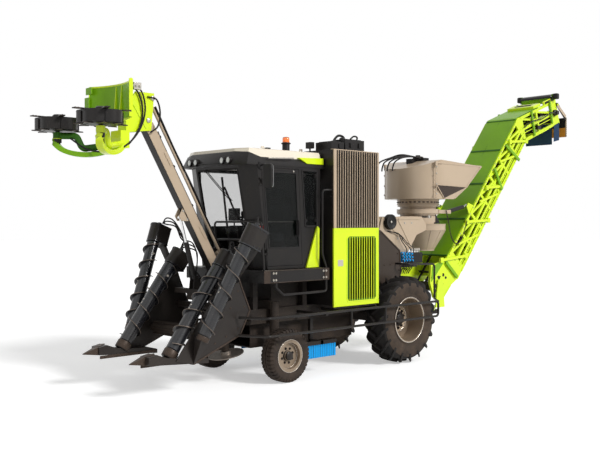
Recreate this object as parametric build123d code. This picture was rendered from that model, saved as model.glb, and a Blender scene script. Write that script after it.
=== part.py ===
from build123d import *
import math
import os

os.makedirs("parts", exist_ok=True)

# Driving dimensions in millimetres, degrees for angles. While it is drawn, x runs forward from the rear
# axle, y to the machine's left and z up from the ground. The finished pieces move along x by -midX, so
# that the origin lies on the ground under the middle of the whole length.

# Wheels and axles
wheelBase = 2675
rearTyreR, rearTyreW, rearTyreY = 737.5, 430, 897
rearRimR, rearDiscY = 406, 805
lugCount, lugHeight, lugW, lugLength, lugLean, lugMiddle = 19, 42, 48, 290, 46, 92
frontTyreR, frontTyreW, frontTyreY = 400, 246, 890
frontRimR, frontDiscY = 242, 930
beadSeat, tyreGap = 22, 0.4
kingpinY, kingpinR = 640, 45
spindleR, rearStubR = 40, 60
fitGap = 0.5
steerArm, tieRodR, tieY, tieZ, armFoot = 190, 16, 610, 440, 470
hubMotorR = 170

# Chassis
railInner, railOuter, railBottom, railTop = 470, 560, 860, 1080
railFront, railRear = 3150, -1150
rearAxleBeam = 160

# Engine and radiator module
moduleRear, moduleFront, moduleHalfW = 690, 1743, 1000
panelBottom, panelTop, radiatorTop = 1061, 2300, 3536
panelT, sheetT = 25, 20
slotCount, slatCount, slatW, slatDepth = 12, 24, 16, 45

# Cab and platform
platformRear, platformFront, platformHalfW = 1800, 3150, 950
platformBottom, platformTop = 1500, 1680
cabRear, cabHalfW, cabWall = 1850, 800, 40
cabFloor, cabEaves, cabTop = 1690, 3250, 3490
cabFrontLow, cabFrontHigh = 2990, 3290
cabCornerLow, cabCornerHigh = 2950, 3160
windscreenHalfW = 530
glassT = 6
doorGap = 6
doorFoot, doorHead = 1740, 3200
doorRear = 2240
doorHingeHeights = (1960, 3000)
mirrorY, mirrorX = 1100, 3225
eyeFrontX, eyeRearX, eyeY, eyeZ, eyeBoreR, eyePlateT = 2700, 1890, 400, 3530, 16, 14

# Guard rails
guardY, guardR, guardUpper, guardLower = 1207, 20, 1020, 763
guardFront, guardRear, guardNoseX, guardNoseY = 3290, -650, 3500, 800

# Header, raised as parked
hingeX, hingeZ, hingeR = 3100, 970, 30
plateY, plateT = 750, 12
tipX, tipY, tipZ = 5212, 609, 516
throatFront = 2950
shoeRear, shoeFront = 4000, 4990
scrollPitch, flightT, flightSides = 272, 8, 8
flightFirst, collarGap = 115, 6
discR, discY, discX, discZ, discTilt = 270, 290, 3330, 420, 12
knockX, knockZ, knockR = 3960, 800, 110

# Topper
boomFootX, boomFootZ = 3280, 1600
boomLength, boomAngle = 2581, 59.8
linkX, linkZ = -70, 320
boomW, boomD = 150, 150
earIn, earOut = boomW / 2 + 12, boomW / 2 + 32
liftFootX, liftFootZ = 3700, 1560
liftUp, liftOut = 1093, 150
barrelR, liftRodR, pinR = 38, 20, 20
liftEarIn, liftEarOut = barrelR + 6, barrelR + 20
drumX, drumY, drumZ, drumR, drumH = 5610, 576, 3745, 190, 190
vaneR, webR, toothDiscR, toothR = 390, 290, 250, 345
deflectorX, deflectorHalfW, deflectorSag, deflectorFoot, deflectorTop = 5140, 545, 160, 3800, 4306
deflectorT = 12
toothCount, webCount = 8, 5

# Extractor
neckX, bandX = -1600, -1740
neckR, bandR, coneR = 345, 440, 215
coneBottom, bandBottom, neckBottom, ringBottom, hoodBottom = 1850, 2240, 2360, 2660, 2830
hoodR, hoodFrontTop, hoodRearTop = 620, 3390, 3560
hoodWall = 8
lipReach = 1230

# Elevator
hubX, hubZ, hubPinR = -1757, 1237, 40
lowerAngle, upperAngle = 49.5, 19.7
kneeUp, coverOut, deckOut = 4318, 115, -150
upperLength, trussDepth = 1660, 545
elevatorHalfW, trussT = 380, 40
turntableR, turntableFoot, turntableTop = 330, 721, 800
earInner, earT = 400, 20
liftEX, liftEY, liftEZ = -2100, 330, 2600
liftUpE, liftOutE = 1750, 235
flapHingeX, flapHingeZ, flapTop, flapHeight = -6080, 5040, 4780, 440
flapX = -6480

frontReach, rearReach = drumX + vaneR, flapX
midX = (frontReach + rearReach) / 2
saved = []


def save(node, *solids):
    placed = [Pos(-midX, 0, 0) * solid for solid in solids]
    export_step(placed[0] if len(placed) == 1 else Compound(children=placed), f"parts/{node}.step")
    saved.append(node)


def box(x0, x1, y0, y1, z0, z1):
    return Pos((x0 + x1) / 2, (y0 + y1) / 2, (z0 + z1) / 2) * Box(abs(x1 - x0), abs(y1 - y0), abs(z1 - z0))


def outline(points):
    return make_face(Polyline(*points, close=True))


# A plate drawn as (x, z) points, from y0 to y1
def plateXZ(points, y0, y1):
    work = Plane((0, y0, 0), x_dir=(1, 0, 0), z_dir=(0, -1, 0))
    return extrude(work * outline(points), amount=y1 - y0, dir=(0, 1, 0))


def rod(p, q, r):
    axis = Vector(*q) - Vector(*p)
    return Plane(origin=p, z_dir=axis) * Pos(0, 0, axis.length / 2) * Cylinder(r, axis.length)


def rodUp(x, y, z0, z1, r):
    return Pos(x, y, (z0 + z1) / 2) * Cylinder(r, z1 - z0)


def pipe(points, r, bend):
    path = FilletPolyline(*points, radius=bend) if len(points) > 2 else Line(*points)
    start = Plane(origin=path @ 0, z_dir=path % 0)
    return sweep(start * Circle(r), path=path)


# A straight bar between two (x, z) points
def bar(p, q, depth, y0, y1):
    length = math.hypot(q[0] - p[0], q[1] - p[1])
    nx, nz = -(q[1] - p[1]) / length * depth / 2, (q[0] - p[0]) / length * depth / 2
    corners = [(p[0] + nx, p[1] + nz), (q[0] + nx, q[1] + nz), (q[0] - nx, q[1] - nz), (p[0] - nx, p[1] - nz)]
    return plateXZ(corners, y0, y1)


# A body turned about a line along y; the points are (radius, y)
def turned(points, x, z):
    return Pos(x, 0, z) * revolve(outline(points), Axis.Y)


# A body turned about a vertical line; the points are (radius, z)
def turnedUp(points, x, y):
    return Pos(x, y, 0) * revolve(Plane.XZ * outline(points), Axis.Z)


def sided(shape, side):
    return shape if side > 0 else mirror(shape, about=Plane.XZ)


sides = (("left", 1), ("right", -1))


# Wheels: the sections are drawn on the left wheel as (radius, y)
def tyre(outerR, rimR, width, y):
    half, bead, tread = width / 2, rimR - beadSeat, 0.94 * outerR
    wall = (outerR + rimR) / 2
    return [(bead, y - half + beadSeat), (rimR + 2, y - half + beadSeat), (wall, y - half),
            (tread, y - half + 12), (outerR, y - half + 45), (outerR, y + half - 45), (tread, y + half - 12),
            (wall, y + half), (rimR + 2, y + half - beadSeat), (bead, y + half - beadSeat)]


def rim(rimR, width, y, discY, discT, hubR, hubIn, hubOut, boreR):
    lip, step, seat = width / 2 - 12, width / 2 - beadSeat + tyreGap, rimR - beadSeat - tyreGap
    inside = seat - 22
    return [(boreR, hubIn), (hubR, hubIn), (hubR, discY - discT), (inside, discY - discT), (inside, y - lip),
            (rimR, y - lip), (rimR, y - step), (seat, y - step), (seat, y + step), (rimR, y + step),
            (rimR, y + lip), (inside, y + lip), (inside, discY), (hubR, discY), (hubR, hubOut), (boreR, hubOut)]


# Tread lugs: straight bars from the middle of the tread to its shoulder, in two rows half a step apart
def treadLugs():
    half = lugLength / 2 * math.sin(math.radians(lugLean)) + lugW / 2
    top = math.sqrt(rearTyreR ** 2 - half ** 2)
    foot = rearTyreR - lugHeight - 45
    bars = []
    for row in (-1, 1):
        for i in range(lugCount):
            turn = 360 / lugCount * (i + (0.5 if row > 0 else 0))
            bar = Pos(0, row * lugMiddle, (top + foot) / 2) * Rot(0, 0, row * lugLean) * Box(lugW, lugLength, top - foot)
            bars.append(Pos(0, rearTyreY, rearTyreR) * Rot(0, turn, 0) * bar)
    return bars


lugged = turned(tyre(rearTyreR - lugHeight, rearRimR, rearTyreW, rearTyreY), 0, rearTyreR)
lugged = lugged + treadLugs()
for name, side in sides:
    save(f"rear_tyre_{name}", sided(lugged, side))
    save(f"rear_rim_{name}", sided(turned(rim(rearRimR, rearTyreW, rearTyreY, rearDiscY, 14, 120, 785, 860,
                                              rearStubR + fitGap), 0, rearTyreR), side))
    save(f"front_tyre_{name}", sided(turned(tyre(frontTyreR, frontRimR, frontTyreW, frontTyreY),
                                            wheelBase, frontTyreR), side))
    save(f"front_rim_{name}", sided(turned(rim(frontRimR, frontTyreW, frontTyreY, frontDiscY, 10, 75, 800, 965,
                                               spindleR + fitGap), wheelBase, frontTyreR), side))

# Front axle: a beam across the frame rails with a kingpin housing at each end, outside the throat
axleTop = railTop + 110
legFoot, legR = 560, 72
frontAxle = box(wheelBase - 80, wheelBase + 80, -kingpinY, kingpinY, railTop, axleTop)
for name, side in sides:
    middle, height = (axleTop + legFoot) / 2, axleTop - legFoot
    frontAxle = frontAxle + Pos(wheelBase, side * kingpinY, middle) * Cylinder(legR, height)
for name, side in sides:
    frontAxle = frontAxle - Pos(wheelBase, side * kingpinY, middle) * Cylinder(kingpinR + fitGap, height + 2)
    post = rod((wheelBase, kingpinY, 330), (wheelBase, kingpinY, axleTop - 10), kingpinR)
    block = box(wheelBase - 60, wheelBase + 60, kingpinY - 50, kingpinY + 60, 330, legFoot - 10)
    spindle = rod((wheelBase, kingpinY, frontTyreR), (wheelBase, 985, frontTyreR), spindleR)
    arm = box(wheelBase - steerArm - 30, wheelBase, tieY - 20, tieY + 20, armFoot, armFoot + 30)
    save(f"knuckle_{name}", sided(post + block + spindle + arm, side))
save("front_axle", frontAxle)
tieX = wheelBase - steerArm
tieRod = rod((tieX, -tieY, tieZ), (tieX, tieY, tieZ), tieRodR)
for side in (-1, 1):
    tieRod = tieRod + rod((tieX, side * tieY, tieZ - 22), (tieX, side * tieY, armFoot - fitGap), tieRodR + 6)
save("tie_rod", tieRod)

# Rear axle: a beam on the frame with a hub housing and stub at each end
rearAxle = box(-110, 110, -570, 570, rearTyreR - rearAxleBeam / 2, rearTyreR + rearAxleBeam / 2)
for name, side in sides:
    hub = rod((0, side * (railOuter + 5), rearTyreR), (0, side * 770, rearTyreR), hubMotorR)
    stub = rod((0, side * 700, rearTyreR), (0, side * 875, rearTyreR), rearStubR)
    saddle = box(-100, 100, side * (railInner + 10), side * (railOuter - 10), rearTyreR, railBottom)
    rearAxle = rearAxle + hub + stub + saddle
save("rear_axle", rearAxle)

# Chassis frame
frame = box(railRear, railFront, railInner, railOuter, railBottom, railTop)
frame = frame + sided(frame, -1)
for x in (railRear + 60, -550, 780, 1700, 2400, railFront - 60):
    frame = frame + box(x - 50, x + 50, -railInner - 5, railInner + 5, railBottom + 40, railTop - 20)
# The arm under the elevator's turntable
frame = frame + box(neckX - 330, railRear + 10, -250, 250, turntableFoot - 81, turntableFoot - 1)
frame = frame - rodUp(neckX, 0, turntableFoot - 90, turntableFoot, 90 + fitGap)
frame = frame + box(railRear, railRear + 110, -250, 250, turntableFoot - 81, railBottom + 60)
# The nose beam that carries the topper's lift cylinder, and the boom's ears
frame = frame + box(railFront - 110, liftFootX + 60, -110, 110, 1240, 1400)
frame = frame + box(railFront - 110, railFront, -200, 200, railTop - 40, 1300)
frame = frame + box(liftFootX - 50, liftFootX + 60, -420, 420, 1330, 1400)
for y in (-1, 1):
    ear = plateXZ([(railFront + 2, 1390), (3400, 1390), (3340, 1660), (3270, 1990), (railFront + 2, 1990)],
                  *sorted((y * earIn, y * earOut)))
    liftEar = plateXZ([(liftFootX - 60, 1390), (liftFootX + 60, 1390), (liftFootX + 35, 1600),
                       (liftFootX - 35, 1600)], *sorted((y * liftEarIn, y * liftEarOut)))
    frame = frame + ear + liftEar
frame = frame + rod((boomFootX, -earOut, boomFootZ), (boomFootX, earOut, boomFootZ), pinR)
frame = frame + rod((boomFootX + linkX, -earOut, boomFootZ + linkZ), (boomFootX + linkX, earOut, boomFootZ + linkZ),
                    pinR)
frame = frame + rod((liftFootX, -liftEarOut, liftFootZ), (liftFootX, liftEarOut, liftFootZ), pinR)
# Legs under the platform and feet for the module
for x in (platformRear + 150, platformFront - 170):
    for y in (-1, 1):
        frame = frame + box(x - 45, x + 45, y * 475, y * 555, railTop, platformBottom)
for y in (-1, 1):
    frame = frame + rod((hingeX, y * (railOuter - 5), hingeZ), (hingeX, y * 655, hingeZ), hingeR)
frame = frame + box(1920, 2560, -440, 440, railTop - 20, platformBottom)
save("chassis_frame", frame)

# Engine and radiator module
engine = box(moduleRear + 70, moduleFront - 50, -420, 420, railTop - 20, 1780)
innerHalfW = moduleHalfW - panelT
housing = (box(moduleRear, moduleFront, -innerHalfW, innerHalfW, railTop, panelTop)
           - box(moduleRear + sheetT, moduleFront - sheetT, -innerHalfW - 1, innerHalfW + 1, railTop - 1,
                 panelTop - sheetT))
save("engine_housing", housing)
panel = box(moduleRear, moduleFront, innerHalfW, moduleHalfW, panelBottom, panelTop)
slotPitch = 0.66 * (moduleFront - moduleRear) / slotCount
for i in range(slotCount):
    x = moduleRear + 70 + slotPitch * (i + 0.5)
    panel = panel - box(x - 9, x + 9, innerHalfW - 1, moduleHalfW + 1, panelBottom + 70, panelTop - 130)
save("engine_panels", panel, sided(panel, -1))
radiator = (box(moduleRear, moduleFront, -moduleHalfW, moduleHalfW, panelTop, radiatorTop)
            - box(moduleRear + 60, moduleFront - 60, -moduleHalfW - 1, moduleHalfW + 1, panelTop + 50,
                  radiatorTop - 50))
slatPitch = (moduleFront - moduleRear - 120) / slatCount
for i in range(slatCount):
    x = moduleRear + 60 + slatPitch * (i + 0.5)
    for side in (-1, 1):
        radiator = radiator + box(x - slatW / 2, x + slatW / 2, side * (moduleHalfW - slatDepth),
                                  side * moduleHalfW, panelTop + 40, radiatorTop - 40)
radiator = radiator + box(900, 1340, 560, 860, radiatorTop, radiatorTop + 190)
radiator = radiator + box(1420, 1700, 560, 900, radiatorTop, radiatorTop + 130)
save("radiator_box", radiator)
save("engine_and_core", engine, box(moduleRear + 70, moduleFront - 70, -moduleHalfW + 110, moduleHalfW - 110,
                                    panelTop + 50, radiatorTop - 60))

# Platform, steps and handrails
platform = box(platformRear, platformFront, -platformHalfW, platformHalfW, platformBottom, platformTop)
for name, side in sides:
    edge = side * (platformHalfW - 20)
    hoop = pipe([(2897, edge, platformBottom + 20), (2897, edge, 1423), (2757, edge, 1312), (1847, edge, 1320),
                 (1847, edge, platformBottom + 20)], 20, 45)
    platform = platform + hoop
for height in (2400, 2130):
    platform = platform + pipe([(platformFront - 20, -180, platformTop - 20), (platformFront + 30, -180, height),
                                (platformFront + 30, 930, height), (platformFront - 20, 930, platformTop - 20)],
                               16, 60)
grab = pipe([(platformRear + 30, 930, platformTop - 20), (1930, 930, 1900), (1930, 930, 2890), (1840, 960, 2900),
             (moduleFront, 960, 2900)], 16, 50)
for x in (1950, 2750):
    for y in (-600, 600):
        platform = platform + box(x - 45, x + 45, y - 45, y + 45, platformTop, cabFloor)
save("platform", platform + grab)

# Cab: a hollow shell between two plan outlines, with its windows and door opening cut
lowPlan = [(cabRear, -cabHalfW), (cabCornerLow, -cabHalfW), (cabFrontLow, -windscreenHalfW),
           (cabFrontLow, windscreenHalfW), (cabCornerLow, cabHalfW), (cabRear, cabHalfW)]
highPlan = [(cabRear, -cabHalfW), (cabCornerHigh, -cabHalfW), (cabFrontHigh, -windscreenHalfW),
            (cabFrontHigh, windscreenHalfW), (cabCornerHigh, cabHalfW), (cabRear, cabHalfW)]


def cabSolid(inset, low, high):
    def plan(points, z):
        shrunk = [(x + inset if x < cabRear + 1 else x - inset, y - math.copysign(inset, y)) for x, y in points]
        return Pos(0, 0, z) * outline(shrunk)
    return loft([plan(lowPlan, low), plan(highPlan, high)], ruled=True)


shell = cabSolid(0, cabFloor, cabEaves) - cabSolid(cabWall, cabFloor + 30, cabEaves + 1)
doorOutline = [(3075, doorHead), (doorRear + 80, doorHead), (doorRear, doorFoot), (2945, doorFoot)]


def grown(points, by):
    cx = sum(p[0] for p in points) / len(points)
    cz = sum(p[1] for p in points) / len(points)
    return [(x + by * math.copysign(1, x - cx), z + by * math.copysign(1, z - cz)) for x, z in points]


shell = shell - plateXZ(grown(doorOutline, doorGap), cabHalfW - cabWall - 8, cabHalfW + 1)
rearPane = [(doorRear + 10, doorHead), (cabRear + 70, doorHead), (cabRear + 70, 2330), (doorRear - 60, 2330)]
rightPane = [(3075, doorHead), (cabRear + 70, doorHead), (cabRear + 70, 2330), (2980, 2330)]
shell = shell - plateXZ(rearPane, cabHalfW - cabWall - 1, cabHalfW + 1)
shell = shell - plateXZ(rightPane, -cabHalfW - 1, -cabHalfW + cabWall + 1)
shell = shell - box(cabFrontLow - 200, cabFrontHigh + 50, -windscreenHalfW + 40, windscreenHalfW - 40, 1950, 3190)
shell = shell - box(cabRear - 1, cabRear + cabWall + 1, -cabHalfW + 90, cabHalfW - 90, 2500, 3150)


# The door's hinge line runs beside its leaning front edge, outside the pillar
def doorHinge(height):
    return (2945 + (height - doorFoot) * 130 / (doorHead - doorFoot) + 12, cabHalfW + 22, height)


for height in doorHingeHeights:
    for a in (-1, 1):
        near, far = sorted((height + a * 27, height + a * 52))
        x = doorHinge(height)[0]
        shell = shell + rod(doorHinge(near), doorHinge(far), 14)
        shell = shell + box(x - 4, x + 46, cabHalfW, cabHalfW + 22, near, far)
    shell = shell + rod(doorHinge(height - 52), doorHinge(height + 52), 8)
save("cab_shell", shell)
roof = loft([Pos(0, 0, cabEaves) * outline([(1760, -790), (3330, -790), (3420, -560), (3420, 560), (3330, 790),
                                            (1760, 790)]),
             Pos(0, 0, cabTop) * outline([(1800, -720), (3240, -720), (3330, -500), (3330, 500), (3240, 720),
                                          (1800, 720)])], ruled=True)
door = plateXZ(doorOutline, cabHalfW - cabWall, cabHalfW)
doorWindow = [(3035, doorHead - 55), (doorRear + 130, doorHead - 55), (doorRear + 65, 2010), (2915, 2010)]
door = door - plateXZ(doorWindow, cabHalfW - cabWall - 1, cabHalfW + 1)
door = door + box(doorRear + 60, 2975, cabHalfW - cabWall, cabHalfW - cabWall + 20, 2360, 2390)
for height in doorHingeHeights:
    x = doorHinge(height)[0]
    knuckle = rod(doorHinge(height - 25), doorHinge(height + 25), 14)
    knuckle = knuckle + box(x - 60, x - 5, cabHalfW, cabHalfW + 14, height - 25, height + 25)
    door = door + (knuckle - rod(doorHinge(height - 60), doorHinge(height + 60), 8 + fitGap))
save("cab_door", door)
save("cab_glass",
     plateXZ(rearPane, cabHalfW - 20, cabHalfW - 20 + glassT),
     plateXZ(rightPane, -cabHalfW + 20 - glassT, -cabHalfW + 20),
     box(cabRear + 15, cabRear + 15 + glassT, -cabHalfW + 90, cabHalfW - 90, 2500, 3150),
     plateXZ([(cabFrontLow + 34, 1950), (cabFrontLow + 40, 1950), (cabFrontHigh - 22, 3190),
              (cabFrontHigh - 28, 3190)], -windscreenHalfW + 40, windscreenHalfW - 40))
save("door_glass", plateXZ(doorWindow, cabHalfW - 12, cabHalfW - 6))
seat = box(2050, 2500, -240, 240, cabFloor + 30, 2050)
seat = seat + box(2030, 2560, -260, 260, 2050, 2190) + box(1960, 2090, -250, 250, 2150, 2780)
console = box(2560, 2780, -200, 200, cabFloor + 30, 1950) + rod((2700, 0, 1900), (2620, 0, 2420), 35)
wheelPlane = Plane((2626, 0, 2420), x_dir=(0, 1, 0), z_dir=(-12, 0, 40))
console = console + wheelPlane * (Cylinder(190, 26) - Cylinder(165, 28) + Box(350, 30, 14) + Cylinder(40, 30))
save("cab_interior", seat, console)
mirrors = box(mirrorX - 40, mirrorX, mirrorY - 95, mirrorY + 95, 2880, 3240)
mirrors = mirrors + pipe([(cabCornerHigh - 60, cabHalfW, 3225), (cabCornerHigh - 60, cabHalfW + 90, 3225),
                          (mirrorX - 20, mirrorY - 60, 3225)], 12, 40)
farMirror = box(2850, 2890, -1130, -960, 3000, 3220)
farMirror = farMirror + pipe([(2870, -cabHalfW, 3205), (2870, -1000, 3205)], 12, 40)
save("mirrors", mirrors, farMirror)

# Lifting eyes on the roof, then the roof's lamps and beacon
for x in (eyeFrontX, eyeRearX):
    for y in (-eyeY, eyeY):
        lug = plateXZ([(x - 45, cabTop - 30), (x + 45, cabTop - 30), (x + 28, cabTop + 75), (x - 28, cabTop + 75)],
                      y - eyePlateT / 2, y + eyePlateT / 2)
        roof = roof + lug - rod((x, y - 20, eyeZ), (x, y + 20, eyeZ), eyeBoreR)
for y in (-479, -325, 325, 479):
    roof = roof + rod((3370, y, 3313), (3440, y, 3313), 45)
roof = roof + rodUp(1900, 60, cabTop - 20, cabTop + 60, 12) + rodUp(1900, 60, cabTop + 60, cabTop + 170, 55)
save("cab_roof", roof)

# Guard rails on both sides, with the rear tubes round the tyre
for name, side in sides:
    rail = pipe([(guardNoseX, guardNoseY, guardUpper), (guardFront, guardY, guardUpper),
                 (guardRear, guardY, guardUpper), (guardRear, guardY, guardLower), (guardFront, guardY, guardLower),
                 (guardNoseX, guardNoseY, guardLower)], guardR, 60)
    rail = rail + rod((guardNoseX - 8, guardNoseY + 15, guardLower), (guardNoseX - 8, guardNoseY + 15, guardUpper),
                      guardR - 3)
    for x in (1560, 560 + moduleRear - 500):
        rail = rail + rod((x, guardY, guardLower), (x, guardY, guardUpper), guardR - 3)
    for x in (1560, 2100):
        rail = rail + box(x - 25, x + 25, railOuter, guardY, guardUpper - 45, guardUpper - 5)
    rail = rail + rod((guardRear, guardY, guardUpper), (-1030, 830, guardUpper), guardR - 2)
    rail = rail + pipe([(-1030, 830, guardUpper - 20), (-1030, 830, 1640), (-300, 830, 1668), (-230, 720, 1668),
                        (-230, 600, 1668)], guardR - 2, 60)
    save(f"guard_rail_{name}", sided(rail, side))

# Strips under the frame, behind each front wheel
curtain = []
for name, side in sides:
    hanger = box(1490, 2140, 780, 800, 480, 520) + box(1790, 1830, railOuter - 20, 800, 480, 520)
    hanger = hanger + box(1790, 1830, railOuter - 40, railOuter, 480, railBottom)
    for i in range(13):
        hanger = hanger + box(1492 + 50 * i, 1538 + 50 * i, 786, 794, 265, 485)
    curtain.append(sided(hanger, side))
save("strip_curtain", *curtain)

# Cane path: a throat between the front wheels and the chopper chamber behind it
throat = (box(700, throatFront, -400, 400, 480, railBottom + 40)
          - box(650, throatFront + 50, -385, 385, 500, railBottom + 10))
save("throat", throat)
chamberSide = [(670, 1200), (670, 2290), (190, 2260), (-340, 1900), (-380, 1500), (-150, railTop), (300, railTop)]
save("chopper_chamber", plateXZ(chamberSide, -600, 600))

# Header: hinge arms, cross tube and base cutter gearbox
plateIn = plateY - plateT / 2
header = rod((3450, -plateIn, 1120), (3450, plateIn, 1120), 50)
for side in (-1, 1):
    eye = rod((hingeX, side * 590, hingeZ), (hingeX, side * 650, hingeZ), 58)
    arm = bar((hingeX, hingeZ), (3450, 1120), 90, *sorted((side * 600, side * 640)))
    header = header + eye + arm
    header = header + box(3400, 3460, side * 300, side * 360, 760, 1120)
for side in (-1, 1):
    header = header - rod((hingeX, side * 580, hingeZ), (hingeX, side * 660, hingeZ), hingeR + fitGap)
header = header + box(discX - 130, discX + 130, -390, 390, 700, 800)
tilt = math.radians(discTilt)
discAxis = Vector(math.sin(tilt), 0, math.cos(tilt))


# A point up the base cutter's shaft from the middle of its disc
def upShaft(side, up):
    return tuple(Vector(discX, side * discY, discZ) + discAxis * up)


for name, side in sides:
    header = header + rod(upShaft(side, 58), upShaft(side, 300), 62)
for name, side in sides:
    header = header - rod(upShaft(side, 50), upShaft(side, 200), 30 + fitGap)
    disc = rod(upShaft(side, -6), upShaft(side, 6), discR) + rod(upShaft(side, 0), upShaft(side, 52), 80)
    disc = disc + rod(upShaft(side, 0), upShaft(side, 190), 30)
    save(f"base_cutter_{name}", disc)
save("header_frame", header)

# Divider scrolls: name, foot (x, y, z), head (x, y, z), tube radius, flight radius, hand of the helix on the
# left side, angle of the flight's first edge, radius and length of the U-shaped cover, collar radius
scrolls = (("outer", (4230, 900, 777), (3542, 1202, 2343), 93, 135, -1, 150, 110, 300, 86),
           ("inner", (4555, 596, 581), (3558, 596, 1954), 98, 140, 1, 20, 104, 260, 100))
coverRear, bracketT = 200, 50


def along(p, q, distance):
    start, way = Vector(*p), Vector(*q) - Vector(*p)
    return tuple(start + way.normalized() * distance)


# A plane square to a scroll, its own x as far forward as it can be
def across(foot, head, distance):
    return Plane(origin=along(foot, head, distance), x_dir=(1, 0, 0), z_dir=Vector(*head) - Vector(*foot))


# A helical flight, drawn as a ruled loft through radial sections, flightSides of them a turn
def flight(foot, head, inner, outer, hand, first, start, end):
    base = across(foot, head, 0)
    count = int((end - start) / scrollPitch * flightSides)
    sections = []
    for i in range(count + 1):
        height = start + scrollPitch * i / flightSides
        turn = math.radians(first + hand * 360 * i / flightSides)
        radial = (math.cos(turn), math.sin(turn), 0)
        local = Plane(origin=(0, 0, height), x_dir=radial, z_dir=(-math.sin(turn), math.cos(turn), 0))
        sections.append(base * local * Pos((inner + outer) / 2, 0) * Rectangle(outer - inner, flightT))
    return loft(sections, ruled=True)


for name, side in sides:
    divider = plateXZ([(3640, 1700), (3500, 1700), (3420, 1490), (3249, 1108), (3438, 759), (4277, 422),
                       (4560, 500), (4480, 620), (3780, 1500)], plateY - plateT / 2, plateY + plateT / 2)
    shoe = plateXZ([(shoeRear, 417), (shoeFront, 486), (shoeFront, 596), (4860, 620), (4700, 560), (4480, 530),
                    (4150, 520), (shoeRear, 480)], 530, plateY - plateT / 2)
    tip = loft([Plane((shoeFront, tipY, 541), x_dir=(0, 1, 0), z_dir=(1, 0, 0)) * Rectangle(100, 110),
                Plane((tipX, tipY, tipZ), x_dir=(0, 1, 0), z_dir=(1, 0, 0)) * Rectangle(12, 8)], ruled=True)
    divider = divider + shoe + tip
    bores = []
    for kind, foot, head, tubeR, flightR, hand, first, coverR, coverLength, collarR in scrolls:
        length = (Vector(*head) - Vector(*foot)).length
        tubeEnd = length - coverLength - collarGap
        scroll = rod(along(foot, head, 60 + collarGap), along(foot, head, tubeEnd), tubeR)
        scroll = scroll + rod(along(foot, head, 5), along(foot, head, length - 60), 20)
        scroll = scroll + flight(foot, head, tubeR - 12, flightR, hand, first, flightFirst, tubeEnd - 15)
        save(f"scroll_{kind}_{name}", sided(scroll, side))
        cover = across(foot, head, length - coverLength) * (Circle(coverR) + Pos(-coverRear / 2, 0)
                                                            * Rectangle(coverRear, 2 * coverR))
        divider = divider + extrude(cover, amount=coverLength)
        bores.append(rod(along(foot, head, -1), along(foot, head, 70), 20 + fitGap))
        bores.append(rod(along(foot, head, tubeEnd), along(foot, head, length - 55), 20 + fitGap))
        behind = across(foot, head, length - coverLength + 20) * Pos(bracketT / 2 - coverRear, 0)
        if kind == "outer":
            # The bracket down to the side plate, and the folded wedge under the foot
            divider = divider + rod(along(foot, head, -20), along(foot, head, 60), collarR)
            divider = divider + loft([across(foot, head, -10) * Rectangle(150, 140),
                                      Plane((4260, plateY, 440), x_dir=(1, 0, 0), z_dir=(0, 0, 1))
                                      * Rectangle(30, 24)], ruled=True)
            divider = divider + loft([behind * Rectangle(bracketT, 150),
                                      Plane((3530, plateY, 1560), x_dir=(1, 0, 0), z_dir=(0, 0, 1))
                                      * Rectangle(70, 60)], ruled=True)
        else:
            divider = divider + rod(along(foot, head, -60), along(foot, head, 60), collarR)
            divider = divider + loft([behind * Rectangle(bracketT, 120),
                                      Plane((3570, plateY, 1600), x_dir=(1, 0, 0), z_dir=(0, 0, 1))
                                      * Rectangle(60, 30)], ruled=True)
    for bore in bores:
        divider = divider - bore
    save(f"divider_{name}", sided(divider, side))
knock = rod((knockX, -plateIn + 0.5, knockZ), (knockX, plateIn - 0.5, knockZ), 40)
knock = knock + rod((knockX, -640, knockZ), (knockX, 640, knockZ), knockR - 30)
for i in range(6):
    angle = math.radians(60 * i)
    reach = (knockX + knockR * math.cos(angle), knockZ + knockR * math.sin(angle))
    knock = knock + bar((knockX, knockZ), reach, 12, -620, 620)
save("knockdown_roller", knock)

# Topper boom with its pivots worked out from its length and angle
lean = math.radians(boomAngle)
boomWay, boomSide = (math.cos(lean), math.sin(lean)), (math.sin(lean), -math.cos(lean))


def onBoom(up, out=0):
    return (boomFootX + up * boomWay[0] + out * boomSide[0], boomFootZ + up * boomWay[1] + out * boomSide[1])


def crossRod(point, r, half):
    return rod((point[0], -half, point[1]), (point[0], half, point[1]), r)


boomFoot, boomTip = onBoom(0), onBoom(boomLength)
linkFoot = (boomFootX + linkX, boomFootZ + linkZ)
linkTip = (boomTip[0] + linkX, boomTip[1] + linkZ)
boom = bar(onBoom(60), onBoom(boomLength - 60), boomD, -boomW / 2, boomW / 2)
boom = boom + crossRod(boomFoot, 62, boomW / 2) + crossRod(boomTip, 62, boomW / 2)
for y in ((-liftEarOut, -liftEarIn), (liftEarIn, liftEarOut)):
    lug = plateXZ([onBoom(liftUp - 120, 60), onBoom(liftUp + 120, 60), onBoom(liftUp + 40, liftOut + 40),
                   onBoom(liftUp - 40, liftOut + 40)], *y)
    boom = boom + lug
boom = boom - crossRod(boomFoot, pinR + fitGap, boomW) - crossRod(boomTip, pinR + fitGap, boomW)
save("topper_boom", boom)
link = rod((linkFoot[0], 0, linkFoot[1]), (linkTip[0], 0, linkTip[1]), 22)
link = link + crossRod(linkFoot, 40, boomW / 2) + crossRod(linkTip, 40, boomW / 2)
link = link - crossRod(linkFoot, pinR + fitGap, boomW) - crossRod(linkTip, pinR + fitGap, boomW)
save("topper_link", link)


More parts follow.
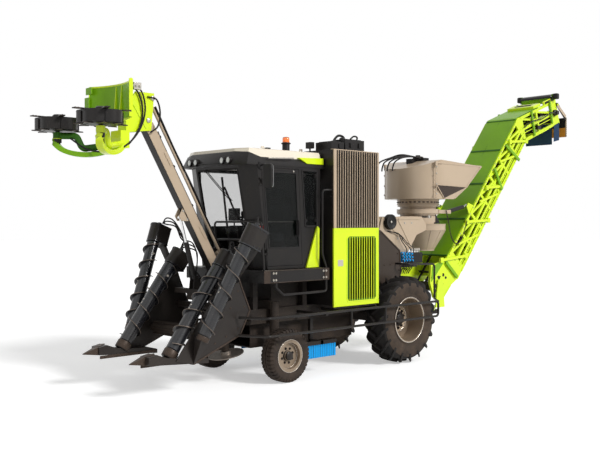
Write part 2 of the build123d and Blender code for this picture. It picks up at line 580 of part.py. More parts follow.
# A lift cylinder between two (x, z) points at one y: the barrel's foot and the rod's eye
def liftCylinder(foot, eye, y, barrelLength, rodLength, eyeW):
    length = math.hypot(eye[0] - foot[0], eye[1] - foot[1])

    def at(distance):
        share = distance / length
        return (foot[0] + (eye[0] - foot[0]) * share, y, foot[1] + (eye[1] - foot[1]) * share)

    def eyeRing(point, r):
        return rod((point[0], y - eyeW / 2, point[1]), (point[0], y + eyeW / 2, point[1]), r)

    barrel = rod(at(28), at(barrelLength), barrelR) + eyeRing(foot, 32)
    barrel = barrel - rod(at(45), at(barrelLength + 1), liftRodR + fitGap) - eyeRing(foot, pinR + fitGap)
    piston = rod(at(length - rodLength), at(length - 20), liftRodR) + eyeRing(eye, 32)
    return barrel, piston - eyeRing(eye, pinR + fitGap)


topperEye = onBoom(liftUp, liftOut)
barrel, piston = liftCylinder((liftFootX, liftFootZ), topperEye, 0, 560, 630, 50)
save("topper_lift_barrel", barrel)
save("topper_lift_rod", piston)

# Topper head: ears on the boom's tip, a beam, arms to the drums, the hood and the crop guides
head = crossRod(boomTip, pinR, earOut) + crossRod(linkTip, pinR, earOut)
for y in (sorted((earIn, earOut)), sorted((-earIn, -earOut))):
    head = head + plateXZ([(4480, 4220), (4790, 4220), (4940, 3940), (4940, 3640), (4530, 3690)], *y)
head = head + box(4880, 4940, -earOut, earOut, 3640, 3900)
head = head + box(4900, 5040, -130, 130, 3420, 3660)


# A sheet bent to an arc in plan, its ends forward of its middle, and a strut from it to the bracket
def arcSheet(x, halfW, sag, t, z0, z1):
    plan = make_face(ThreePointArc((x, -halfW), (x - sag, 0), (x, halfW)) + Line((x, halfW), (x - t, halfW))
                     + ThreePointArc((x - t, halfW), (x - sag - t, 0), (x - t, -halfW))
                     + Line((x - t, -halfW), (x, -halfW)))
    return Pos(0, 0, z0) * extrude(plan, amount=z1 - z0, dir=(0, 0, 1))


head = head + arcSheet(deflectorX, deflectorHalfW, deflectorSag, deflectorT, deflectorFoot, deflectorTop)
head = head + box(4900, deflectorX - deflectorSag - 2, -earOut, earOut, deflectorFoot, deflectorFoot + 90)
# The curved arms that carry the drums from below, each with its bearing under the drum
drumFoot = drumZ - drumH / 2
for side in (-1, 1):
    arm = pipe([(drumX, side * drumY, drumFoot - 60), (drumX - 190, side * (drumY - 180), drumFoot - 62),
                (drumX - 250, side * (drumY - 237), drumFoot - 240), (4975, side * 60, 3480)], 45, 70)
    head = head + arm + rodUp(drumX, side * drumY, drumFoot - 105, drumFoot - 15.3, 62)
save("topper_head", head)
for name, side in sides:
    middle = Pos(drumX, side * drumY, drumZ)
    drum = middle * Cylinder(drumR, drumH)
    # The toothed disc under the drum
    teeth = []
    for i in range(2 * toothCount):
        reach, turn = (toothR if i % 2 else toothDiscR - 30), math.pi * i / toothCount
        teeth.append((reach * math.cos(turn), reach * math.sin(turn)))
    drum = drum + middle * Pos(0, 0, -drumH / 2 + 4) * extrude(outline(teeth) + Circle(toothDiscR), amount=8)
    # Webs down the drum and flat arms over its top
    for i in range(webCount):
        spoke = middle * Rot(0, 0, 360 / webCount * i)
        drum = drum + spoke * Pos(webR / 2, 0, -10) * Box(webR, 8, drumH - 50)
        drum = drum + spoke * Pos(vaneR / 2, 0, drumH / 2 - 5) * Box(vaneR, 70, 10)
    drum = drum + middle * Pos(0, 0, -drumH / 2 - 5) * Cylinder(30, 20)
    save(f"topper_drum_{name}", drum)

# Extractor: cone and band, neck with its flanges, brackets to the chopper chamber
outer = turnedUp([(0, coneBottom), (coneR, coneBottom), (bandR, bandBottom), (bandR, neckBottom), (0, neckBottom)],
                 bandX, 0) + rodUp(neckX, 0, neckBottom - 5, ringBottom + 60, neckR)
innerWall = turnedUp([(0, coneBottom - 1), (coneR - hoodWall, coneBottom - 1), (coneR - hoodWall, coneBottom),
                      (bandR - hoodWall, bandBottom), (bandR - hoodWall, neckBottom - 8), (0, neckBottom - 8)],
                     bandX, 0) + rodUp(neckX, 0, neckBottom - 20, ringBottom + 61, neckR - hoodWall)
extractor = outer + rodUp(neckX, 0, ringBottom + 30, ringBottom + 60, neckR + 45)
extractor = extractor + rodUp(neckX, 0, ringBottom - 120, ringBottom - 100, neckR + 45) - innerWall
for y in ((300, 330), (-330, -300)):
    extractor = extractor + plateXZ([(-340, 1900), (-40, 2104), (-170, 2480), (-700, 2500),
                                     (-1300, 2500), (-1436, 2350), (-1425, 2245), (-1150, 2160), (-900, 1850),
                                     (-500, 1780)], *y)
extractor = extractor + rod((-348, 330, 2400), (-348, 380, 2400), 130)
save("extractor_neck", extractor)

# Hood: a U in plan, cut to its side outline, hollow, open at its rear lip and over the neck
hoodBase = ringBottom + 60 + fitGap


def hoodForm(inset, reach):
    r = hoodR - inset
    plan = Pos(neckX, 0, 2700) * extrude(Circle(r) + Pos(-1500, 0) * Rectangle(3000, 2 * r), amount=1200,
                                         dir=(0, 0, 1))
    side = plateXZ([(neckX + hoodR, hoodBottom + inset), (neckX + hoodR, hoodFrontTop - inset),
                    (neckX + 90, hoodRearTop - inset), (neckX - lipReach - reach, 3490 - inset),
                    (neckX - 730 - reach, 3080 - reach / 2), (neckX - 300, hoodBottom + inset)], -700, 700)
    return plan & side


hood = hoodForm(0, 0) - hoodForm(hoodWall, 40) - rodUp(neckX, 0, hoodBottom - 1, hoodBottom + 20, neckR + 10)
collar = rodUp(neckX, 0, hoodBase, hoodBottom + 4, neckR + 45) - rodUp(neckX, 0, hoodBase - 1, hoodBottom + 5,
                                                                       neckR + 10)
motor = rodUp(neckX, 0, hoodRearTop - 60, hoodRearTop + 90, 100)
hood = hood + collar + motor - rodUp(neckX, 0, hoodRearTop - 62, hoodRearTop + 60, 25 + fitGap)
save("extractor_hood", hood)
fan = rodUp(neckX, 0, hoodBottom - 60, hoodRearTop + 40, 25) + rodUp(neckX, 0, hoodBottom - 60, hoodBottom + 40, 90)
for i in range(4):
    blade = Pos(neckX, 0, hoodBottom - 10) * Rot(0, 0, 90 * i) * Pos(200, 0, 0) * Rot(25, 0, 0) * Box(250, 130, 8)
    fan = fan + blade
save("extractor_fan", fan)

# Elevator: points by distance up the lower run from the hub, and out from it towards the cover
low, high = math.radians(lowerAngle), math.radians(upperAngle)


def onLower(up, out):
    return (hubX - up * math.cos(low) + out * math.sin(low), hubZ + up * math.sin(low) + out * math.cos(low))


knee = onLower(kneeUp, coverOut)


def onUpper(up, out):
    return (knee[0] - up * math.cos(high) + out * math.sin(high),
            knee[1] + up * math.sin(high) + out * math.cos(high))


def kneeAt(out):
    half = (low - high) / 2
    bisector = (low + high) / 2
    reach = (out - coverOut) / math.cos(half)
    return (knee[0] + reach * math.sin(bisector), knee[1] + reach * math.cos(bisector))


# A strip that follows both runs between two distances out from the hub line
def strip(out0, out1, start, end, y0, y1):
    upper0, upper1 = out0 - coverOut, out1 - coverOut
    return plateXZ([onLower(start, out0), kneeAt(out0), onUpper(end, upper0), onUpper(end, upper1), kneeAt(out1),
                    onLower(start, out1)], y0, y1)


floorOut = coverOut - trussDepth
sideIn = elevatorHalfW - trussT
side = strip(floorOut, coverOut, 420, upperLength, sideIn, elevatorHalfW)
boot = plateXZ([(hubX + 247, hubZ + 351), (hubX + 277, hubZ + 13), (hubX + 157, hubZ - 267), (hubX - 63, hubZ - 366),
                (hubX - 383, hubZ - 57), onLower(470, floorOut), onLower(520, floorOut + 100), onLower(560, coverOut),
                (hubX - 193, hubZ + 423)], sideIn, elevatorHalfW)
cuts = []
bayCount, bayStart = 7, 700
bay = (kneeUp - bayStart - 120) / bayCount
for i in range(bayCount):
    s0, s1 = bayStart + bay * i + 28, bayStart + bay * (i + 1) - 28
    cuts += [[onLower(s0 + 40, coverOut - 60), onLower(s1, coverOut - 60), onLower(s1, coverOut - 190)],
             [onLower(s0, coverOut - 90), onLower(s1 - 40, coverOut - 230), onLower(s0, coverOut - 230)],
             [onLower(s0, floorOut + 170), onLower(s1, floorOut + 170), onLower(s1, floorOut + 250),
              onLower(s0, floorOut + 250)],
             [onLower(s0, floorOut + 60), onLower(s1, floorOut + 60), onLower(s1, floorOut + 130),
              onLower(s0, floorOut + 130)]]
upperBays = 2
bay = (upperLength - 420) / upperBays
for i in range(upperBays):
    s0, s1 = 160 + bay * i + 28, 160 + bay * (i + 1) - 28
    cuts += [[onUpper(s0 + 40, -60), onUpper(s1, -60), onUpper(s1, -200)],
             [onUpper(s0, -90), onUpper(s1 - 40, -240), onUpper(s0, -240)],
             [onUpper(s0, -trussDepth + 60), onUpper(s1, -trussDepth + 60), onUpper(s1, -trussDepth + 240),
              onUpper(s0, -trussDepth + 240)]]
side = side + boot
for points in cuts:
    side = side - plateXZ(points, sideIn - 1, elevatorHalfW + 1)
lug = plateXZ([onLower(liftUpE - 120, coverOut - 10), onLower(liftUpE + 120, coverOut - 10),
               onLower(liftUpE + 40, liftOutE + 40), onLower(liftUpE - 40, liftOutE + 40)], elevatorHalfW - 12,
              elevatorHalfW)
side = side + lug - crossRod((hubX, hubZ), hubPinR + fitGap, 500)
truss = side + sided(side, -1)
truss = truss + strip(floorOut, floorOut + 12, 470, upperLength - 500, -sideIn - 1, sideIn + 1)
truss = truss + strip(deckOut, deckOut + 12, 260, upperLength - 420, -sideIn - 1, sideIn + 1)
for i in range(bayCount + 1):
    up = bayStart + (kneeUp - bayStart - 120) / bayCount * i
    a, b = onLower(up, coverOut - 30), onLower(up + 50, coverOut - 30)
    truss = truss + bar(a, b, 50, -sideIn - 1, sideIn + 1)
truss = truss + bar(onUpper(upperLength - 60, -30), onUpper(upperLength - 10, -30), 50, -sideIn - 1, sideIn + 1)
for side in (-1, 1):
    y0, y1 = sorted((side * (elevatorHalfW - 1), side * (elevatorHalfW + 42)))
    truss = truss + rod((flapHingeX, y0, flapHingeZ), (flapHingeX, y1, flapHingeZ), pinR)
truss = truss + box(-5996, -5976, -sideIn - 1, sideIn + 1, 4565, 4625)
save("elevator_truss", truss)

# Slat chain: two loops of link bars round a drum at each end, with the slats across them
runOut, backOut, drumOut = deckOut + 45, deckOut - 165, deckOut - 60
chain = crossRod(onLower(60, drumOut), 92, 300) + crossRod(onUpper(upperLength - 160, drumOut - coverOut), 92, 300)
chain = chain + crossRod(onLower(60, drumOut), 40, sideIn)
chain = chain + crossRod(onUpper(upperLength - 160, drumOut - coverOut), 40, sideIn)
for y in (-260, 230):
    chain = chain + strip(runOut - 15, runOut + 15, 60, upperLength - 160, y, y + 30)
    chain = chain + strip(backOut - 15, backOut + 15, 60, upperLength - 160, y, y + 30)
slatPitchE, slatHeight = 430, 65
for i in range(int((kneeUp - 300) / slatPitchE)):
    up = 300 + slatPitchE * i
    chain = chain + bar(onLower(up, runOut), onLower(up, runOut + slatHeight), 8, -300, 300)
    chain = chain + bar(onLower(up, backOut), onLower(up, backOut - slatHeight), 8, -300, 300)
for i in range(3):
    up = 200 + slatPitchE * i
    chain = chain + bar(onUpper(up, runOut - coverOut), onUpper(up, runOut - coverOut + slatHeight), 8, -300, 300)
    chain = chain + bar(onUpper(up, backOut - coverOut), onUpper(up, backOut - coverOut - slatHeight), 8, -300, 300)
save("elevator_chain", chain)

# Covers over the lower run and the first of the upper run
covers = []
coverHalfW = elevatorHalfW - 14
coverJoints = (560, 1500, 2440, 3380, kneeUp - 30)
for i in range(4):
    a, b = onLower(coverJoints[i] + 4, coverOut + 5), onLower(coverJoints[i + 1] - 4, coverOut + 5)
    covers.append(bar(a, b, 8, -coverHalfW, coverHalfW))
covers.append(bar(onUpper(40, 5), onUpper(900, 5), 8, -coverHalfW, coverHalfW))
headCover = bar(onUpper(upperLength - 180, 43), onUpper(upperLength - 20, 43), 86, -elevatorHalfW, elevatorHalfW)
for side in (-1, 1):
    y0, y1 = sorted((side * (elevatorHalfW - 10), side * 500))
    headCover = headCover + box(-5975, -5885, y0, y1, 5150, 5265)
save("elevator_covers", *covers, headCover)
curtains = [box(-5976, -5970, -sideIn + 8, sideIn - 8, 4140, 4600)]
for side in (-1, 1):
    y0, y1 = sorted((side * elevatorHalfW, side * (elevatorHalfW + 6)))
    curtains.append(plateXZ([(-5960, 4560), (-6190, 4650), (-6190, 4250), (-5960, 4200)], y0, y1))
save("discharge_curtain", *curtains)
flapSide = (elevatorHalfW + 12, elevatorHalfW + 24)
flap = box(flapX, flapX + 12, -flapSide[1], flapSide[1], flapTop - flapHeight, flapTop)
for y in (flapSide, (-flapSide[1], -flapSide[0])):
    flap = flap + plateXZ([(flapHingeX + 45, flapHingeZ + 40), (flapHingeX - 30, flapHingeZ + 40),
                           (flapX, flapTop), (flapX, flapTop - 90), (flapHingeX, flapHingeZ - 50)], *y)
flap = flap - crossRod((flapHingeX, flapHingeZ), pinR + fitGap, 500)
save("end_flap", flap)

# Turntable under the boot, its ears, and the upper swing ring round the extractor's neck
table = rodUp(neckX, 0, turntableFoot, turntableTop, turntableR) + rodUp(neckX, 0, turntableFoot - 60, turntableFoot, 90)
table = table + box(hubX - 130, hubX + 150, -earInner - earT, earInner + earT, turntableTop - 20, turntableTop)
for side in (-1, 1):
    y0, y1 = sorted((side * earInner, side * (earInner + earT)))
    table = table + plateXZ([(hubX - 130, turntableTop - 20), (hubX + 150, turntableTop - 20),
                             (hubX + 70, hubZ + 70), (hubX - 70, hubZ + 70)], y0, y1)
    p0, p1 = sorted((side * (sideIn - 4), side * (earInner + earT)))
    table = table + rod((hubX, p0, hubZ), (hubX, p1, hubZ), hubPinR)
ringFoot = ringBottom - 100 + fitGap
ring = rodUp(neckX, 0, ringFoot, ringFoot + 80, neckR + 60) - rodUp(neckX, 0, ringFoot - 1, ringFoot + 81, neckR + 5)
for side in (-1, 1):
    y = side * liftEY
    for inner, outer in ((-liftEarOut, -liftEarIn), (liftEarIn, liftEarOut)):
        ring = ring + box(liftEX - 26, neckX - 150, y + inner, y + outer, ringFoot, ringFoot + 70)
    ring = ring + rod((liftEX, y - liftEarOut, liftEZ), (liftEX, y + liftEarOut, liftEZ), pinR)
    ring = ring + box(liftEX + 60, neckX - 150, y - liftEarOut, y + liftEarOut, ringFoot, ringFoot + 20)
ring = ring - rodUp(neckX, 0, ringFoot - 1, ringFoot + 81, neckR + 5)
save("turntable", table)
save("swing_ring", ring)
barrels, pistons = [], []
for side in (-1, 1):
    barrel, piston = liftCylinder((liftEX, liftEZ), onLower(liftUpE, liftOutE), side * liftEY, 500, 520, 50)
    barrels.append(barrel)
    pistons.append(piston)
save("elevator_lift_barrels", *barrels)
save("elevator_lift_rods", *pistons)
print(len(saved), "nodes, origin", midX, "mm ahead of the rear axle")
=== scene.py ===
import math
import bpy
import bmesh
import numpy as np
from mathutils import Matrix, Vector


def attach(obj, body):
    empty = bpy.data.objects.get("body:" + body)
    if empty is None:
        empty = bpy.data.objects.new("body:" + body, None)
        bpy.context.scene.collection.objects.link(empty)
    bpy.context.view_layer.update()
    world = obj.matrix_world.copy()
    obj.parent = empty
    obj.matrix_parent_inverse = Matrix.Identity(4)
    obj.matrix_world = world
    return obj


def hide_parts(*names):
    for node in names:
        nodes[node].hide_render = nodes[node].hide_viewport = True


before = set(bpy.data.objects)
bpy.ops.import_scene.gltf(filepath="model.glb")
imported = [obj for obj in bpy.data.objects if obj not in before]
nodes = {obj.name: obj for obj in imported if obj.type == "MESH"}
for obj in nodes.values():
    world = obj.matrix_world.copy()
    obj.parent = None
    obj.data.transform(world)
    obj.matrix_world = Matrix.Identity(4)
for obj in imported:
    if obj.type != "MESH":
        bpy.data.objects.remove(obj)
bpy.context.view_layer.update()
shiftX = 0.24  # the part is drawn from the rear axle, the frame starts at the middle of its length
origin, toFront, toLeft, toSky = (0, 0, 0), (1, 0, 0), (0, 1, 0), (0, 0, 1)
# the slot of each finish; a piece that takes another one says so in its own call
slotOf = {"charcoalPaint": "chassis_black", "scrollPaint": "chassis_black", "cabPlastic": "chassis_black",
          "hoseBlack": "chassis_black", "limePaint": "lime_paint", "limeFramePaint": "lime_paint",
          "coverGreenPaint": "green_cover", "shadeGreenPaint": "green_cover", "meshGreenPaint": "green_cover",
          "tanPaint": "tan_paint", "creamPaint": "cream_paint", "galvanised": "worn_steel",
          "brownSteel": "worn_steel", "wornEdge": "worn_steel", "brassFitting": "worn_steel",
          "rodChrome": "chrome_rod", "rimEdge": "rim_paint", "treadRubber": "tyre_rubber",
          "blueStrip": "blue_strip", "navyStrip": "navy_strip", "orangeStrip": "navy_strip",
          "amberLens": "tinted_glass", "redLens": "tinted_glass", "lampLens": "tinted_glass",
          "seatCloth": "cab_trim",}
print("frame loaded", len(nodes), "nodes")


# Meshes from arrays

def meshObject(name, parts, body, material, smooth=40, bevel=0.0, slot=None):
    # parts are (points, faces) pairs; all their points lie in metres from the rear axle, like the CAD values
    points, faces, offset = [], [], 0
    for partPoints, partFaces in parts:
        partPoints = np.asarray(partPoints, dtype=float).reshape(-1, 3)
        for block in (partFaces if isinstance(partFaces, list) else [partFaces]):
            faces.append(np.asarray(block, dtype=np.int64) + offset)
        points.append(partPoints)
        offset += len(partPoints)
    points = np.concatenate(points) + np.array([shiftX, 0, 0])
    loops = np.concatenate([block.ravel() for block in faces])
    totals = np.concatenate([np.full(len(block), block.shape[1]) for block in faces])
    mesh = bpy.data.meshes.new(name)
    mesh.vertices.add(len(points))
    mesh.vertices.foreach_set("co", points.astype(np.float32).ravel())
    mesh.loops.add(len(loops))
    mesh.loops.foreach_set("vertex_index", loops.astype(np.int32))
    mesh.polygons.add(len(totals))
    mesh.polygons.foreach_set("loop_start", (np.cumsum(totals) - totals).astype(np.int32))
    mesh.update(calc_edges=True)
    mesh.validate()
    work = bmesh.new()
    work.from_mesh(mesh)
    bmesh.ops.remove_doubles(work, verts=work.verts, dist=2e-5)
    bmesh.ops.recalc_face_normals(work, faces=work.faces)
    work.to_mesh(mesh)
    work.free()
    if smooth:
        mesh.polygons.foreach_set("use_smooth", np.ones(len(mesh.polygons), dtype=bool))
        mesh.set_sharp_from_angle(angle=math.radians(smooth))
    mesh.materials.append(material)
    piece = bpy.data.objects.new(name, mesh)
    bpy.context.scene.collection.objects.link(piece)
    if bevel:
        edge = piece.modifiers.new("edge", "BEVEL")
        edge.width, edge.segments, edge.limit_method = bevel, 2, "ANGLE"
        edge.angle_limit = math.radians(40)
    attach(piece, body)
    slot = slot or slotOf.get(material.name)
    return piece


def gridFaces(rows, columns, wrapRows=False, wrapColumns=False):
    # quads between neighbouring points of a rows x columns grid
    i = np.arange(rows if wrapRows else rows - 1)[:, None]
    j = np.arange(columns if wrapColumns else columns - 1)[None, :]
    a, b = i * columns + j, i * columns + (j + 1) % columns
    c, d = ((i + 1) % rows) * columns + (j + 1) % columns, ((i + 1) % rows) * columns + j
    return np.stack([a, b, c, d], axis=-1).reshape(-1, 4)


def axisFrame(direction):
    # two unit vectors square to a direction, and the direction itself
    w = np.asarray(direction, float)
    w = w / np.linalg.norm(w)
    helper = np.array([0.0, 0, 1]) if abs(w[2]) < 0.9 else np.array([1.0, 0, 0])
    u = np.cross(helper, w)
    u /= np.linalg.norm(u)
    return u, np.cross(w, u), w


def lathe(profile, centre, direction, segments=48):
    # point = centre + r (u cos a + v sin a) + h w, for each (r, h) of the profile
    u, v, w = axisFrame(direction)
    profile = np.asarray(profile, float)
    a = np.linspace(0, 2 * math.pi, segments, endpoint=False)
    ring = np.cos(a)[:, None] * u + np.sin(a)[:, None] * v
    points = np.asarray(centre) + profile[:, None, :1] * ring[None] + profile[:, None, 1:] * w
    return points.reshape(-1, 3), gridFaces(len(profile), segments, wrapColumns=True)


def smoothPath(points, count):
    # a uniform Catmull-Rom curve through the points, sampled count times
    points = np.asarray(points, float)
    padded = np.vstack([2 * points[0] - points[1], points, 2 * points[-1] - points[-2]])
    s = np.linspace(0, len(points) - 1 - 1e-9, count)
    k = s.astype(int)
    t = (s - k)[:, None]
    p0, p1, p2, p3 = padded[k], padded[k + 1], padded[k + 2], padded[k + 3]
    return 0.5 * (2 * p1 + (p2 - p0) * t + (2 * p0 - 5 * p1 + 4 * p2 - p3) * t ** 2
                  + (3 * p1 - p0 - 3 * p2 + p3) * t ** 3)


def pathFrames(path):
    # the tangent of each point, and a normal carried along it with the least turning
    tangent = np.gradient(path, axis=0)
    tangent /= np.linalg.norm(tangent, axis=1)[:, None]
    normal = axisFrame(tangent[0])[0]
    normals = []
    for t in tangent:
        normal = normal - t * normal.dot(t)
        normal /= np.linalg.norm(normal)
        normals.append(normal)
    normals = np.array(normals)
    return tangent, normals, np.cross(tangent, normals)


def tube(points, radius, sides=10, count=0, smooth=True):
    # a circle of the radius carried along the path, its ends closed by shrinking to a point
    path = smoothPath(points, count or 8 * len(points)) if smooth else np.asarray(points, float)
    tangent, normal, binormal = pathFrames(path)
    a = np.linspace(0, 2 * math.pi, sides, endpoint=False)
    ring = normal[:, None] * np.cos(a)[None, :, None] + binormal[:, None] * np.sin(a)[None, :, None]
    body = path[:, None] + radius * ring
    body = np.concatenate([np.repeat(path[:1, None], sides, 1), body, np.repeat(path[-1:, None], sides, 1)])
    return body.reshape(-1, 3), gridFaces(len(body), sides, wrapColumns=True)


def stripAlong(path, section, side):
    # a closed section of (across, up) points carried along the path; side is the across direction
    path, section = np.asarray(path, float), np.asarray(section, float)
    tangent = np.gradient(path, axis=0)
    tangent /= np.linalg.norm(tangent, axis=1)[:, None]
    side = np.asarray(side, float)
    across = side - tangent * (tangent @ side)[:, None]
    across /= np.linalg.norm(across, axis=1)[:, None]
    up = np.cross(tangent, across)
    body = path[:, None] + section[None, :, :1] * across[:, None] + section[None, :, 1:] * up[:, None]
    middle = body.mean(axis=1, keepdims=True)
    count = len(section)
    body = np.concatenate([np.repeat(middle[:1], count, 1), body, np.repeat(middle[-1:], count, 1)])
    return body.reshape(-1, 3), gridFaces(len(body), count, wrapColumns=True)


boxCorners = np.array([[x, y, z] for x in (0, 1) for y in (0, 1) for z in (0, 1)], float)
boxFaces = np.array([[0, 1, 3, 2], [4, 6, 7, 5], [0, 4, 5, 1], [2, 3, 7, 6], [0, 2, 6, 4], [1, 5, 7, 3]])


def boxes(limits):
    # one box for each row x0, x1, y0, y1, z0, z1
    limits = np.atleast_2d(np.asarray(limits, float))
    low, high = limits[:, 0::2], limits[:, 1::2]
    points = low[:, None] + boxCorners[None] * (high - low)[:, None]
    faces = boxFaces[None] + 8 * np.arange(len(limits))[:, None, None]
    return points.reshape(-1, 3), faces.reshape(-1, 4)


def bars(starts, ends, width, height, side=toLeft):
    # a box from each start to each end, as wide along the side direction and as high square to it
    starts, ends = np.atleast_2d(np.asarray(starts, float)), np.atleast_2d(np.asarray(ends, float))
    way = ends - starts
    way = way / np.linalg.norm(way, axis=1)[:, None]
    across = np.asarray(side, float) - way * (way @ np.asarray(side, float))[:, None]
    across /= np.linalg.norm(across, axis=1)[:, None]
    up = np.cross(way, across)
    c = boxCorners
    points = (starts[:, None] + c[None, :, :1] * (ends - starts)[:, None] + (c[None, :, 1:2] - 0.5) * width
              * across[:, None] + (c[None, :, 2:] - 0.5) * height * up[:, None])
    faces = boxFaces[None] + 8 * np.arange(len(starts))[:, None, None]
    return points.reshape(-1, 3), faces.reshape(-1, 4)


def bolts(centres, direction, radius=0.011, height=0.009):
    # six-sided heads on round washers, all facing one direction
    centres = np.atleast_2d(np.asarray(centres, float))
    u, v, w = axisFrame(direction)
    base = 0.3 * height
    washer = [(1.55 * radius, 0.0), (1.55 * radius, base), (0.0, base)]
    head = [(radius, base), (radius, base + height * 0.8), (0.85 * radius, base + height),
            (0.0, base + height)]
    built = []
    for profile, sides in ((np.array(washer), 12), (np.array(head), 6)):
        a = np.linspace(0, 2 * math.pi, sides, endpoint=False)
        ring = np.cos(a)[:, None] * u + np.sin(a)[:, None] * v
        one = profile[:, None, :1] * ring[None] + profile[:, None, 1:] * w
        points = centres[:, None, None] + one[None]
        faces = gridFaces(len(profile), sides, wrapColumns=True)[None]
        faces = faces + len(profile) * sides * np.arange(len(centres))[:, None, None]
        built.append((points.reshape(-1, 3), faces.reshape(-1, 4)))
    return joined(built)


def joined(parts):
    # several (points, faces) pairs made one
    points, faces, offset = [], [], 0
    for partPoints, partFaces in parts:
        points.append(partPoints)
        faces.append(partFaces + offset)
        offset += len(partPoints)
    return np.concatenate(points), np.concatenate(faces)


def onSide(y, pairs):
    # points at one distance from the middle, from their x and z
    return [(x, y, z) for x, z in pairs]


def edgeBars(points, width, height, side=toLeft, closed=True):
    # a bar along each side of a polygon
    points = np.asarray(list(points) + list(points[:1]) if closed else points, float)
    return bars(points[:-1], points[1:], width, height, side)


def around(centre, direction, radius, count, first=0.0):
    # points evenly spaced on a circle
    u, v, w = axisFrame(direction)
    a = first + np.linspace(0, 2 * math.pi, count, endpoint=False)
    return np.asarray(centre) + radius * (np.cos(a)[:, None] * u + np.sin(a)[:, None] * v)


def sheetGrid(top, thickness):
    # a closed sheet: the grid of points, and the same grid moved back along its own normals
    along = np.gradient(top, axis=0)
    across = np.gradient(top, axis=1)
    normal = np.cross(along, across)
    normal /= np.linalg.norm(normal, axis=2)[..., None]
    under = top - thickness * normal
    rows, columns = top.shape[:2]
    ringed = np.concatenate([top, under[::-1]])
    faces = gridFaces(2 * rows, columns, wrapRows=True)
    index = np.arange(2 * rows * columns).reshape(2 * rows, columns)
    sides = []
    for column in (0, columns - 1):
        a, b = index[:rows, column], index[rows:, column][::-1]
        sides.append(np.stack([a[:-1], a[1:], b[1:], b[:-1]], axis=-1))
    return ringed.reshape(-1, 3), np.concatenate([faces] + sides)


def extrudedPlate(outline, axis, low, high):
    # a flat plate: its outline as points across two axes, from low to high along the third
    outline = np.asarray(outline, float)
    order = {"x": (1, 2, 0), "y": (0, 2, 1), "z": (0, 1, 2)}[axis]
    count = len(outline)
    points = np.zeros((2, count, 3))
    points[:, :, order[0]], points[:, :, order[1]] = outline[:, 0], outline[:, 1]
    points[0, :, order[2]], points[1, :, order[2]] = low, high
    caps = np.arange(2 * count).reshape(2, count)
    side = gridFaces(2, count, wrapColumns=True)
    return points.reshape(-1, 3), [side, caps]


# Finishes

def linear(r, g, b):
    # a colour as seen on screen, 0 to 255, turned into the scene's own values
    c = np.array([r, g, b], float) / 255
    return tuple(np.where(c <= 0.04045, c / 12.92, ((c + 0.055) / 1.055) ** 2.4))


def newGroup(name, inputs, outputs):
    group = bpy.data.node_groups.new(name, "ShaderNodeTree")
    for label, kind, value in inputs:
        socket = group.interface.new_socket(label, in_out="INPUT", socket_type=kind)
        if value is not None:
            socket.default_value = value
    for label, kind in outputs:
        group.interface.new_socket(label, in_out="OUTPUT", socket_type=kind)
    start, end = group.nodes.new("NodeGroupInput"), group.nodes.new("NodeGroupOutput")
    start.location, end.location = (-900, 0), (900, 0)
    return group, start, end


def mathNode(tree, operation, a, b=None, clamp=False):
    node = tree.nodes.new("ShaderNodeMath")
    node.operation, node.use_clamp = operation, clamp
    for socket, value in zip(node.inputs, (a, b)):
        if value is None:
            continue
        if isinstance(value, (int, float)):
            socket.default_value = value
        else:
            tree.links.new(value, socket)
    return node.outputs[0]


def mixColour(tree, factor, a, b, blend="MIX"):
    node = tree.nodes.new("ShaderNodeMix")
    node.data_type, node.blend_type = "RGBA", blend
    for socket, value in ((node.inputs[0], factor), (node.inputs[6], a), (node.inputs[7], b)):
        if isinstance(value, (int, float)):
            socket.default_value = value
        elif isinstance(value, tuple):
            socket.default_value = (*value, 1)
        else:
            tree.links.new(value, socket)
    return node.outputs[2]


def noise(tree, vector, scale, detail=4.0, rough=0.5):
    node = tree.nodes.new("ShaderNodeTexNoise")
    tree.links.new(vector, node.inputs["Vector"])
    if isinstance(scale, (int, float)):
        node.inputs["Scale"].default_value = scale
    else:
        tree.links.new(scale, node.inputs["Scale"])
    node.inputs["Detail"].default_value = detail
    node.inputs["Roughness"].default_value = rough
    return node.outputs["Fac"]


def remap(tree, value, low, high, to0=0.0, to1=1.0):
    node = tree.nodes.new("ShaderNodeMapRange")
    tree.links.new(value, node.inputs["Value"])
    for label, number in (("From Min", low), ("From Max", high), ("To Min", to0), ("To Max", to1)):
        node.inputs[label].default_value = number
    return node.outputs["Result"]


# Paint: blotches a little darker than the colour, dust that thickens towards the ground, rubbed specks
paintGroup, start, end = newGroup("paintFilm", [("Colour", "NodeSocketColor", (0.5, 0.5, 0.5, 1)),
        ("Dust Colour", "NodeSocketColor", (0.3, 0.24, 0.17, 1)), ("Dust", "NodeSocketFloat", 0.3),
        ("Blotch", "NodeSocketFloat", 0.1), ("Wear", "NodeSocketFloat", 0.1),
        ("Base Roughness", "NodeSocketFloat", 0.35), ("Peel", "NodeSocketFloat", 0.1)],
        [("Colour", "NodeSocketColor"), ("Roughness", "NodeSocketFloat"), ("Normal", "NodeSocketVector")])
tree = paintGroup
place = tree.nodes.new("ShaderNodeTexCoord").outputs["Object"]
height = tree.nodes.new("ShaderNodeSeparateXYZ")
tree.links.new(place, height.inputs[0])
broad, fine, specks = noise(tree, place, 2.3, 5), noise(tree, place, 38, 5, 0.6), noise(tree, place, 160, 2)
low = remap(tree, height.outputs["Z"], 1.5, 0.0)
dusty = mathNode(tree, "MULTIPLY", remap(tree, broad, 0.38, 0.72), remap(tree, fine, 0.3, 0.75))
dusty = mathNode(tree, "ADD", mathNode(tree, "MULTIPLY", dusty, mathNode(tree, "ADD", low, 0.35)),
                 mathNode(tree, "MULTIPLY", low, 0.35))
dusty = mathNode(tree, "MULTIPLY", dusty, start.outputs["Dust"], clamp=True)
